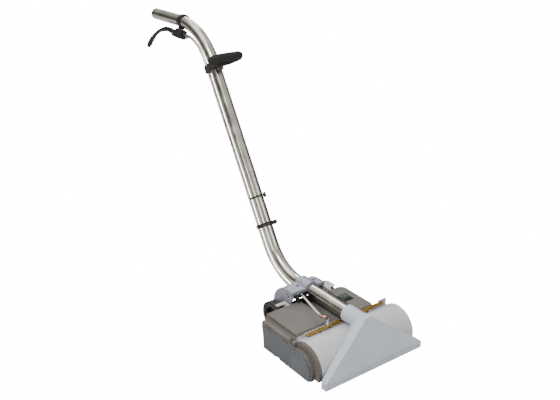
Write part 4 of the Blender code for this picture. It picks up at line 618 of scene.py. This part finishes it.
RIM_DEPTH = 0.0012
bore_radius = TUBE_RADIUS - TUBE_WALL
mouth = [(grip_end.y - RIM_DEPTH, bore_radius + 0.0002), (grip_end.y - RIM_DEPTH, TUBE_RADIUS - 0.0001),
         (grip_end.y - 0.0002, TUBE_RADIUS - 0.0003), (grip_end.y, TUBE_RADIUS - 0.0008),
         (grip_end.y - 0.0004, bore_radius + 0.0001)]
mouth_edge = turned("grip_mouth_edge", mouth, "Y", (0, 0, grip_end.z))
dress(mouth_edge, plated_steel)
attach(mouth_edge, "wand")
print("lance:", len(lance.data.polygons), "faces")

# %% [markdown]
# ## The solution line
#
# The thin steel line carries the cleaning solution. It runs beside and behind the lance from the bracket to the
# handle, and leaves it in one slow curve for the valve. A free curve over its whole length would drift from the
# lance, so the line is set off from the lance's own points, and only its last part is a free curve.

# %% Solution line
LINE_RADIUS = 0.005
LINE_WALL = 0.0012
LINE_OFFSET = 0.0184
LINE_START_Y = 0.283
TRIGGER_Y = 0.985
TRIGGER_LEAN = radians(25)
trigger_place = Matrix.Translation((0, TRIGGER_Y, grip_start.z)) @ Matrix.Rotation(TRIGGER_LEAN, 4, "Y")


def beside(point, behind):
    """The point of the solution line next to a point of the lance."""
    return point + Vector((-LINE_OFFSET, 0, 0)) + LINE_OFFSET * behind


def slow_curve(start, leave, arrive, end, steps):
    """A smooth curve that leaves along one direction and arrives along another."""
    return [(1 - t) ** 3 * start + 3 * t * (1 - t) ** 2 * leave + 3 * t * t * (1 - t) * arrive + t ** 3 * end
            for t in [k / steps for k in range(steps + 1)]]


port = trigger_place @ Vector((0, -0.033, -0.042))
line_points = [beside(Vector((0, LINE_START_Y, LEG_Z)), Vector((0, 0, -1))),
               beside(lower_start, Vector((0, 0, -1)))]
for k, point in enumerate(lower_bend):
    angle = RISE * (k + 1) / len(lower_bend)
    line_points.append(beside(point, Vector((0, sin(angle), -cos(angle)))))
curve_start = beside(upper_start, behind_lance)
curve_end = port - Vector((0, 0.010, 0))
line_points += slow_curve(curve_start, curve_start + 0.075 * up_lance, curve_end - Vector((0, 0.050, 0)),
                          curve_end, 30)
line_points.append(port)
solution_line = tube_along("solution_line", line_points, LINE_RADIUS, 24, LINE_RADIUS - LINE_WALL)
dress(solution_line, thin_steel)
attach(solution_line, "wand")
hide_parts("solution_tube")
print("solution line:", len(line_points), "points")

# %% [markdown]
# ## Foam loop handle
#
# The front hand holds a closed loop covered in foam. A loop is a tube whose line closes on itself. The foam isn't
# quite even in thickness: it is squeezed at the corners and swells between them, so the radius is varied a little
# along the line.

# %% Handle loop
HANDLE_AT = 0.590
HANDLE_REAR = 0.036
HANDLE_REACH = 0.090
HANDLE_HALF_WIDTH = 0.050
FOAM_RADIUS = 0.0130
CORNER_STEPS = 8
place = lower_bend[-1] + HANDLE_AT * up_lance
handle_place = Matrix.Translation(place) @ Matrix((Vector((1, 0, 0)), behind_lance, up_lance)).transposed().to_4x4()
corners = [(-0.022, -HANDLE_REAR, 0.016), (-HANDLE_HALF_WIDTH, -0.070, 0.020),
           (-HANDLE_HALF_WIDTH + 0.008, -HANDLE_REACH, 0.020), (HANDLE_HALF_WIDTH - 0.008, -HANDLE_REACH, 0.020),
           (HANDLE_HALF_WIDTH, -0.070, 0.020), (0.022, -HANDLE_REAR, 0.016)]
loop_line = []
for k, (x, y, radius) in enumerate(corners):
    corner = Vector((x, y, 0))
    before = Vector((*corners[k - 1][:2], 0)) - corner
    after = Vector((*corners[(k + 1) % len(corners)][:2], 0)) - corner
    reach = min(radius, 0.48 * before.length, 0.48 * after.length)
    first, last = corner + reach * before.normalized(), corner + reach * after.normalized()
    loop_line += [(1 - t) ** 2 * first + 2 * t * (1 - t) * corner + t * t * last
                  for t in [step / CORNER_STEPS for step in range(CORNER_STEPS + 1)]]
swell = [FOAM_RADIUS * (0.985 + 0.018 * sin(7 * k) * sin(3 * k)) for k in range(len(loop_line))]
foam_loop = tube_along("foam_loop", loop_line, swell, 32, across=Vector((0, 0, 1)), closed=True)
foam_loop.data.transform(handle_place)
dress(foam_loop, grip_foam)
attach(foam_loop, "handle")
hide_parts("loop_handle")
print("foam loop:", len(foam_loop.data.vertices), "points")

# %% [markdown]
# ## Brush
#
# A carpet brush is a roller with nylon tufts set in a spiral. From under the hood only the rows of tufts show, so
# each tuft is made as a short splayed bundle: narrow where it leaves the roller and wider at its cut end. One mesh
# holds them all, which keeps the scene light.

# %% Tufts
low, high = [Vector(corner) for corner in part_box("brush_bristles")]
axis_y, axis_z = (low.y + high.y) / 2, (low.z + high.z) / 2
tip_radius = (high.z - low.z) / 2
root_radius = 0.0200
end_gap = 0.004
rows, per_row, twist = 14, 46, 1.6
TUFT_SIDES = 6
points, faces = [], []
for row in range(rows):
    for k in range(per_row):
        x = low.x + end_gap + (high.x - low.x - 2 * end_gap) * k / (per_row - 1)
        angle = 2 * pi * row / rows + twist * k / per_row
        out = Vector((0, cos(angle), sin(angle)))
        side = Vector((0, -sin(angle), cos(angle)))
        tip = tip_radius * (0.985 + 0.015 * sin(11.0 * row + 5.0 * k))
        start = len(points)
        for reach, half in ((root_radius, 0.0013), (0.6 * tip + 0.4 * root_radius, 0.0021), (tip, 0.0028)):
            middle = Vector((x, axis_y, axis_z)) + reach * out
            for j in range(TUFT_SIDES):
                turn = 2 * pi * j / TUFT_SIDES
                points.append(middle + half * cos(turn) * Vector((1, 0, 0)) + 0.8 * half * sin(turn) * side)
        for low_ring in (start, start + TUFT_SIDES):
            high_ring = low_ring + TUFT_SIDES
            for j in range(TUFT_SIDES):
                n = (j + 1) % TUFT_SIDES
                faces.append((low_ring + j, low_ring + n, high_ring + n, high_ring + j))
        faces.append(tuple(start + 2 * TUFT_SIDES + j for j in range(TUFT_SIDES)))
        faces.append(tuple(start + TUFT_SIDES - 1 - j for j in range(TUFT_SIDES)))
tufts = piece_from("brush_tufts", points, faces)
dress(face_outwards(tufts), bristle_nylon)
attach(tufts, "brush")
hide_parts("brush_bristles")
print("tufts:", rows * per_row)

# %% [markdown]
# ## Tyres
#
# The transport wheels have solid tyres with three shallow grooves. The groove is part of the profile that is
# turned, so it is a real cut and not a drawn line, and it keeps its shape from every side.

# %% Grooved tyres
for hand in ("left", "right"):
    low, high = [Vector(corner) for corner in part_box(f"tyre_{hand}")]
    centre = (0, (low.y + high.y) / 2, (low.z + high.z) / 2)
    outer = (high.z - low.z) / 2
    inner, edge, groove = outer - 0.012, 0.004, 0.0012
    profile = ring_profile(low.x, high.x, inner, outer, edge, 5)
    middle_of_profile = len(profile) // 2
    left_edge, right_edge = profile[:middle_of_profile], profile[middle_of_profile:]
    grooves = []
    for share in (0.30, 0.50, 0.70):
        middle = low.x + share * (high.x - low.x)
        grooves += [(middle - groove, outer), (middle - 0.5 * groove, outer - groove),
                    (middle + 0.5 * groove, outer - groove), (middle + groove, outer)]
    tyre = turned(f"grooved_tyre_{hand}", left_edge + grooves + right_edge, "X", centre, 72)
    dress(tyre, tyre_rubber)
    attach(tyre, f"{hand}_wheel")
    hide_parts(f"tyre_{hand}")
    print(tyre.name, "radius", round(1000 * outer, 1), "mm")

# %% [markdown]
# ## Spray hose
#
# A thin nylon hose feeds the spray bar. It is short and stiff, so it spans from the manifold to the elbow with
# hardly any sag. A crimped sleeve holds each end. The hose is made as a tube along its line.

# %% Hose and sleeves
SOLID_RADIUS = 0.003
HOSE_RADIUS = 0.0029
END_INSET = 0.0008
SAG = 0.0015
HOSE_STEPS = 24
low, high = [Vector(corner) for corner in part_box("spray_hose")]
hose_start = Vector((low.x + SOLID_RADIUS, low.y + END_INSET, high.z - SOLID_RADIUS))
hose_end = Vector((high.x - SOLID_RADIUS, high.y - END_INSET, low.z + SOLID_RADIUS))
hose_line = []
for k in range(HOSE_STEPS + 1):
    share = k / HOSE_STEPS
    hose_line.append(hose_start.lerp(hose_end, share) - Vector((0, 0, SAG * sin(pi * share))))
hose = tube_along("thin_hose", hose_line, HOSE_RADIUS, 20)
dress(hose, hose_plastic)
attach(hose, "chassis")
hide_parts("spray_hose")
SLEEVE_RADIUS, SLEEVE_BORE = 0.0037, 0.0030
for name, first in (("hose_sleeve_front", 0), ("hose_sleeve_rear", HOSE_STEPS - 3)):
    sleeve = tube_along(name, hose_line[first:first + 3], SLEEVE_RADIUS, 24, SLEEVE_BORE)
    dress(sleeve, plated_steel)
    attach(sleeve, "chassis")

# %% [markdown]
# ## Painted shade in the channel
#
# The lance comes down into the channel across the motor cover, and the right side of the channel lies in deep shade
# under it. That shade is painted with a thin black sheet: a bent strip, with a flat foot on the channel's floor and a
# rim up its side. It is drawn here as one folded sheet with thickness, because it only has to cover.

# %% Channel painted shade sheet
cover_low, cover_high = [Vector(corner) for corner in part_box("motor_cover")]
section = [(0.0060, 0.0784), (0.0629, 0.0784), (0.0660, 0.0921), (0.0652, 0.0926), (0.0620, 0.0796),
           (0.0060, 0.0796)]
front_gap, rear_gap = 0.004, 0.002
shade_sheet_length = cover_high.y - cover_low.y - front_gap - rear_gap
rows = 24
shade_sheet_points, shade_sheet_faces, shade_sheet_maps = [], [], []
for row in range(rows + 1):
    along = cover_low.y + front_gap + shade_sheet_length * row / rows
    waver = 0.00012 * sin(0.9 * row) + 0.00008 * sin(2.3 * row)
    shade_sheet_points += [(x - abs(waver), along, z + abs(waver)) for x, z in section]
count = len(section)
for row in range(rows):
    for k in range(count):
        n = (k + 1) % count
        shade_sheet_faces.append((row * count + k, row * count + n, (row + 1) * count + n, (row + 1) * count + k))
        shade_sheet_maps.append(((row, k), (row, k + 1), (row + 1, k + 1), (row + 1, k)))
for ends in (tuple(range(count)), tuple(range(rows * count, (rows + 1) * count))):
    shade_sheet_faces.append(ends)
    shade_sheet_maps.append(tuple((0, k) for k in range(count)))
shade_sheet = face_outwards(piece_from("channel_liner", shade_sheet_points, shade_sheet_faces, shade_sheet_maps))
# The black sheet is painted shade: it darkens the channel where the lance shades it.
dress(shade_sheet, belt_rubber)
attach(shade_sheet, "chassis")
print("liner length:", round(1000 * shade_sheet_length), "mm")

# %% [markdown]
# ## Socket screws in the bracket's side
#
# Two black screws sit near the front edge of the left cheek. Each has a turned head with a rounded rim and a round
# recess for its key, standing a little way out of the plate. They are drawn because bare holes would read as
# drill marks, where the real plate is screwed on.

# %% Cheek screws
cheek_low, cheek_high = [Vector(corner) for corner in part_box("cheek_left")]
bolt_low, bolt_high = [Vector(corner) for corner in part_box("pivot_bolt_left")]
pivot = (bolt_low + bolt_high) / 2
head = [(0.0020, 0.0), (0.0020, 0.0026), (-0.0004, 0.0026), (-0.0008, 0.0022), (-0.0008, 0.0013),
        (0.0008, 0.0012), (0.0008, 0.0)]
for number, (back, up) in enumerate(((-0.0047, 0.0521), (-0.0102, 0.0454)), 1):
    screw = turned(f"cheek_screw_{number}", head, "X", (cheek_low.x, pivot.y + back, pivot.z + up), 20)
    dress(screw, dark_steel)
    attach(screw, "wand")
print("cheek screws set in", round(1000 * (cheek_high.x - cheek_low.x), 1), "mm of cheek")

# %% [markdown]
# ## Floor
#
# The machine stands on plain white paper. Paper bright enough to look white would flood the underside with light if
# it lit the machine as well, so the floor glows for the camera alone, and everything else sees a duller one.

# %% Floor
PAPER_GLOW = 16.0
FLOOR_Z = -0.0004
floor_points = [(-9, -9, FLOOR_Z), (9, -9, FLOOR_Z), (9, 12, FLOOR_Z), (-9, 12, FLOOR_Z)]
floor = piece_from("floor", floor_points, [(0, 1, 2, 3)])
pale_floor, nodes, links, shader = start_material("pale_floor")
tone = noise(nodes, links, coordinates(nodes), 1.2, 2.0)
links.new(ramp(nodes, links, tone, [(0.3, (0.88, 0.88, 0.88)), (0.7, (0.92, 0.92, 0.92))]),
          shader.inputs["Base Color"])
shader.inputs["Roughness"].default_value = 0.9
glow = nodes.new("ShaderNodeEmission")
glow.inputs["Strength"].default_value = PAPER_GLOW
lit = nodes.new("ShaderNodeAddShader")
links.new(shader.outputs["BSDF"], lit.inputs[0])
links.new(glow.outputs["Emission"], lit.inputs[1])
dull = nodes.new("ShaderNodeBsdfDiffuse")
dull.inputs["Color"].default_value = (0.62, 0.60, 0.57, 1)
which = nodes.new("ShaderNodeMixShader")
links.new(nodes.new("ShaderNodeLightPath").outputs["Is Camera Ray"], which.inputs["Fac"])
links.new(dull.outputs["BSDF"], which.inputs[1])
links.new(lit.outputs["Shader"], which.inputs[2])
links.new(which.outputs["Shader"], nodes["Material Output"].inputs["Surface"])
dress(floor, pale_floor)
print("floor laid")

# %% [markdown]
# ## Surroundings
#
# Polished tube needs something dark to reflect as well as something bright, or it looks like white plastic. A plain
# colour all round can't give both, so the surroundings grow brighter with height. The camera itself sees pale paper
# past the floor's edge, and only reflections see the darker horizon.

# %% Surroundings
world = bpy.data.worlds.new("studio")
bpy.context.scene.world = world
world.use_nodes = True
nodes, links = world.node_tree.nodes, world.node_tree.links
heading = nodes.new("ShaderNodeSeparateXYZ")
links.new(nodes.new("ShaderNodeTexCoord").outputs["Generated"], heading.inputs["Vector"])
height = ramp(nodes, links, heading.outputs["Z"], [(0.0, (0.10, 0.10, 0.10)), (0.30, (0.16, 0.155, 0.15)),
                                                  (0.62, (1.0, 1.0, 1.0))])
studio = nodes["Background"]
links.new(height, studio.inputs["Color"])
studio.inputs["Strength"].default_value = 0.85
paper = nodes.new("ShaderNodeBackground")
paper.inputs["Color"].default_value = (1.0, 1.0, 1.0, 1.0)
paper.inputs["Strength"].default_value = PAPER_GLOW
either = nodes.new("ShaderNodeMixShader")
links.new(nodes.new("ShaderNodeLightPath").outputs["Is Camera Ray"], either.inputs["Fac"])
links.new(studio.outputs["Background"], either.inputs[1])
links.new(paper.outputs["Background"], either.inputs[2])
links.new(either.outputs["Shader"], nodes["World Output"].inputs["Surface"])
print("surroundings set")

# %% [markdown]
# ## Lamps
#
# Small lamps would put hard dots on the polished tube. Large square ones make long soft highlights, as a studio's
# soft boxes do. A broad sun fills in from above, and a low lamp on the left lights the sides of the bracket.

# %% Lamps


def soft_lamp(name, spot, aim, size, power, colour=(1, 1, 1)):
    """A square lamp, size metres wide, that stands at spot and looks at aim."""
    lamp = bpy.data.lights.new(name, "AREA")
    lamp.size = size
    lamp.energy = power
    lamp.color = colour
    holder = bpy.data.objects.new(name, lamp)
    holder.location = spot
    holder.rotation_euler = (Vector(aim) - Vector(spot)).to_track_quat("-Z", "Y").to_euler()
    bpy.context.scene.collection.objects.link(holder)
    return holder


sun = bpy.data.objects.new("overhead", bpy.data.lights.new("overhead", "SUN"))
sun.data.energy = 1.25
sun.data.angle = radians(50)
sun.rotation_euler = (radians(-14), radians(-16), 0)
bpy.context.scene.collection.objects.link(sun)
soft_lamp("key_lamp", (-1.6, -0.2, 2.8), (0, 0.4, 0.2), 1.2, 50.0, (1.0, 0.98, 0.95))
soft_lamp("left_lamp", (-2.8, -0.6, 0.9), (-0.1, 0.15, 0.1), 1.2, 24.0)
soft_lamp("front_lamp", (0.8, -2.6, 1.8), (0, 0.2, 0.2), 1.6, 26.0)
soft_lamp("back_lamp", (1.2, 2.6, 2.4), (0, 0.6, 0.4), 1.4, 30.0, (0.96, 0.98, 1.0))
print("lamps placed")

# %% [markdown]
# ## Camera
#
# The camera stands at the front left and looks down a little, so the lance's bends, the hood and the shoe all show.
# A fairly long lens keeps the tall handle from leaning back.

# %% Camera
camera = bpy.data.objects.new("camera", bpy.data.cameras.new("camera"))
camera.location = (-1.2976, -1.2995, 1.283)
camera.rotation_euler = (radians(67.0), 0.0, radians(-36.6))
camera.data.lens = 50
camera.data.sensor_width = 36
bpy.context.scene.collection.objects.link(camera)
bpy.context.scene.camera = camera
print("camera set")
